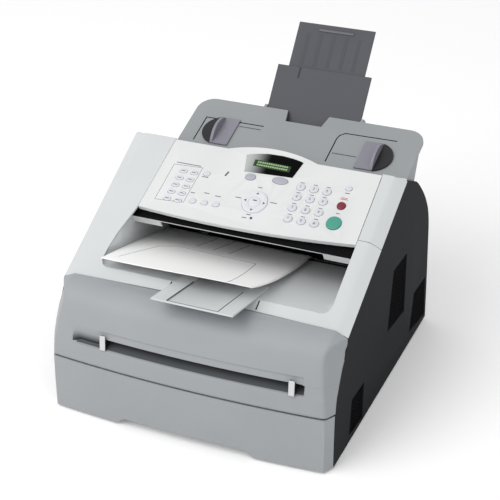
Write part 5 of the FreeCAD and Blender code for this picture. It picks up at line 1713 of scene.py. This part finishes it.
    def _print(self) -> None:
        """Plain dashes, a frame and the lamp round the keys; they say nothing."""
        frame = self.frame_corners
        shells = [self._line(a, b, self.frame_width) for a, b in zip(frame, frame[1:] + frame[:1])]
        shells += [bar((x, u), (width, self.dash_depth), self.ink_heights, TOP)
                   for x, u, width in self.dashes]
        for y in self.dial_y:
            up = TOP.up(y) + self.dial_dash_up
            shells += [bar((x, up), self.dial_dash, self.ink_heights, TOP) for x in self.dial_x]
        shells += [bar(middle, size, self.ink_heights, TOP, tone=1) for middle, size in self.red_dashes]
        shells.append(self._line(*self.stroke, self.stroke_width))
        shells.append(self.key_shell(self.lamp, self.lamp_size, self.lamp_high, self.lamp_dome, tone=2))
        self.shop.piece("panel_print", shells, [Finishes.INK, Finishes.INK_RED, Finishes.LAMP],
                        "control_panel")

    def _line(self, a: Place, b: Place, width: float) -> Shell:
        """Printed line between two places on the panel: a rectangle along it, carried up a little.

        Args:
            a: First place (x, u).
            b: Last place.
            width: Width of the line.

        Returns:
            The line's surface.
        """
        start, end = np.array(a), np.array(b)
        along = (end - start) / np.linalg.norm(end - start)
        across = np.array([-along[1], along[0]]) * width / 2
        outline = np.array([start - across, end - across, end + across, start + across])
        return raised(outline, self.ink_heights, TOP)


@dataclass
class DocumentTray:
    """Shelf behind the panel, its edge guides and the two leaves of the support."""

    shop: Workshop
    shelf_edge: float = 0.5
    groove_depths: Place = (-1.35, -0.2)
    groove_ends: Place = (12.0, 80.0)
    leaf_edge: float = 0.6
    upper_edge: float = 0.5
    lip_low: float = -3.0
    slot_middle: Place = (-6.0, 48.5)
    slot_size: Place = (2.4, 15.0)
    slot_heights: Place = (-0.4, 0.06)
    rib_x: tuple[float, ...] = (-8.0, 10.0, 28.0, 46.0, 64.0)
    rib_u: float = 83.0
    rib_size: Place = (5.0, 44.0)
    rib_heights: Place = (-3.8, -3.1)
    rib_edge: float = 0.15
    guide_edge: float = 0.6
    grips: Place = (-85.2, 137.2)

    def build(self) -> None:
        """Shelf with painted shade in its grooves, leaves with their slot painted as shade and their ribs,
        and guides.
        """
        shop = self.shop
        shop.softened("document_tray", "document_shelf", Finishes.TRAY, self.shelf_edge,
                      second=Finishes.GROOVE_SHADE, mask=self._grooved)
        shop.softened("document_support", "support_leaf", Finishes.LEAF, self.leaf_edge)
        shop.softened("document_support_extension", "support_upper_leaf", Finishes.LEAF, self.upper_edge,
                      second=Finishes.LEAF_LIP, mask=self._lip)
        # Painted shade in the leaf's slot
        slot = bar(self.slot_middle, self.slot_size, self.slot_heights, LEAF)
        shop.piece("support_slot", [slot], [Finishes.GROOVE_SHADE], "document_support")
        ribs = [bar((x, self.rib_u), self.rib_size, self.rib_heights, LEAF) for x in self.rib_x]
        made = shop.piece("support_ribs", ribs, [Finishes.LEAF_RIB], "document_support_extension")
        shop.round_edges(made, self.rib_edge)
        for side, grip in zip(Side, self.grips):
            self._guide(side, grip)

    def _grooved(self, middle: Array, normal: Array) -> Array:
        """True for the floors and walls of the shelf's shallow grooves, which get painted shade.

        Args:
            middle: Middles of the faces.
            normal: Normals of the faces; not used.

        Returns:
            One answer for each face.
        """
        up, off = SHELF.local(middle)[:, 1:].T
        (deep, shallow), (start, end) = self.groove_depths, self.groove_ends
        return (off > deep) & (off < shallow) & (up > start) & (up < end)

    def _lip(self, middle: Array, normal: Array) -> Array:
        """True for the faces of the upper leaf's raised lip."""
        return LEAF.local(middle)[:, 2] > self.lip_low

    def _guide(self, side: Side, grip: float) -> None:
        """Edge guide whose outer part is black: partly its own dark grip, partly painted shade on its outer
        side.

        Args:
            side: Side that it lies on.
            grip: Place across the machine where the grip starts.
        """
        node = "document_guide_" + side.name.lower()
        # Outer part black: partly the dark grip, partly painted shade on the guide's outer side
        self.shop.softened(node, node + "_fin", Finishes.GUIDE, self.guide_edge, segments=3,
                           second=Finishes.GUIDE_DARK, cut=grip,
                           mask=lambda middle, normal: side.value * (middle[:, 0] - grip) > 0.0)


@dataclass
class Body:
    """Side covers, back, cassette, and what sits inside.

    Louvre recesses are outlines of points (depth, height).
    """

    shop: Workshop
    side_edge: float = 0.8
    back_edge: float = 0.6
    bar_edge: float = 0.5
    louvres: tuple[tuple[Place, ...], ...] = (
        ((270.0, 155.0), (219.0, 157.0), (201.0, 78.0), (267.0, 70.0)),
        ((356.0, 71.0), (308.0, 73.0), (293.0, 21.0), (358.0, 11.0)),
        ((116.0, 58.0), (74.0, 60.0), (66.0, 13.0), (112.0, 7.0)))
    recess_floor: float = 185.3
    recess_rim: float = 186.9
    slat_sides: Place = (185.6, 186.4)
    slat_half: float = 1.0
    slat_pitch: float = 6.5
    slat_gap: float = 1.5
    slat_below: float = 5.0
    slat_above: float = 3.0
    facing: float = 0.9
    path_low: float = -13.2
    inner: tuple[tuple[Finish, tuple[str, ...]], ...] = (
        (Finishes.STEEL, ("cassette_lift_plate", "base_frame", "rear_screws")),
        (Finishes.RUBBER, ("feet", "pickup_roller", "document_feed_roller", "exit_roller",
                           "pressure_roller")),
        (Finishes.METAL, ("heat_roller", "drive_motor")),
        (Finishes.DRUM, ("photo_drum",)),
        (Finishes.INNER, ("drum_cartridge", "laser_unit", "speaker", "power_supply", "rear_sockets")),
        (Finishes.BOARD, ("main_board", "panel_board")),
        (Finishes.SENSOR, ("image_sensor",)),
        (Finishes.DISPLAY, ("lcd_module",)))

    def build(self) -> None:
        """Rounded copies of the outer pieces, and finishes on the inner ones."""
        shop = self.shop
        for side in Side:
            node = side.name.lower() + "_side_cover"
            shop.softened(node, node + "_panel", Finishes.SIDE, self.side_edge, segments=3,
                          second=Finishes.LOUVRE, mask=self._sunk)
            self._slats(side)
        shop.softened("rear_shell", "rear_panel", Finishes.SIDE, self.back_edge)
        shop.softened("rear_cover", "rear_door", Finishes.SIDE, self.back_edge)
        # The cassette front takes the front grey, partly painted shade
        shop.softened("paper_cassette", "cassette_drawer", Finishes.FRONT_SHADED, self.side_edge, segments=3)
        # The document bar's upper side and front edge are painted black as shade in the exit slot
        shop.softened("document_lower_guide", "document_bar", Finishes.PANEL, self.bar_edge,
                      second=Finishes.SHADE_BLACK, mask=self._path)
        for finish, nodes in self.inner:
            for node in nodes:
                shop.dress(node, finish)

    def _path(self, middle: Array, normal: Array) -> Array:
        """True for the document path's plate, painted black as shade in the exit slot: its upper side, and
        its front edge between the two end bars.
        """
        upward = TOP.local(normal + [0.0, TOP.y, TOP.z])[:, 2] > self.facing
        return upward | (TOP.local(middle)[:, 2] > self.path_low)

    def _sunk(self, middle: Array, normal: Array) -> Array:
        """True for the floors of the louvre recesses."""
        away = np.abs(middle[:, 0])
        return (away > self.recess_floor) & (away < self.recess_rim) & (np.abs(normal[:, 0]) > self.facing)

    def _slats(self, side: Side) -> None:
        """Slats across each recess: a level line cuts its outline, and a bar is laid between the cuts.

        Args:
            side: Side of the machine.
        """
        shells = []
        half = self.slat_half
        for outline in self.louvres:
            low, high = np.array(outline), np.roll(outline, -1, 0)
            first, last = low[:, 1].min() + self.slat_below, low[:, 1].max() - self.slat_above
            for z in np.arange(first, last, self.slat_pitch):
                crossed = (low[:, 1] - z) * (high[:, 1] - z) < 0.0
                share = (z - low[crossed, 1]) / (high[crossed, 1] - low[crossed, 1])
                cuts = np.sort(low[crossed, 0] + share * (high[crossed, 0] - low[crossed, 0]))
                front, rear = cuts[0] + self.slat_gap, cuts[-1] - self.slat_gap
                x = side.value * np.array(self.slat_sides)[:, None]
                rings = spread(x, np.array([front, rear, rear, front]), z + half * np.array([-1, -1, 1, 1]))
                shells.append(ring_shell(rings if side is Side.RIGHT else rings[:, ::-1]))
        self.shop.piece(side.name.lower() + "_slats", shells, [Finishes.LOUVRE], "chassis")


def main() -> None:
    """Builds every part of the machine."""
    logging.basicConfig(level=logging.INFO, format="%(message)s")
    shop = Workshop.open()
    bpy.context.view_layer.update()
    PhotoCamera().build()
    Studio().build()
    front = FrontCover(shop)
    top = TopCover(shop, front)
    for assembly in (front, top, OutputTray(shop, top), ControlPanel(shop), DocumentTray(shop), Body(shop)):
        assembly.build()


if __name__ == "__main__":
    main()
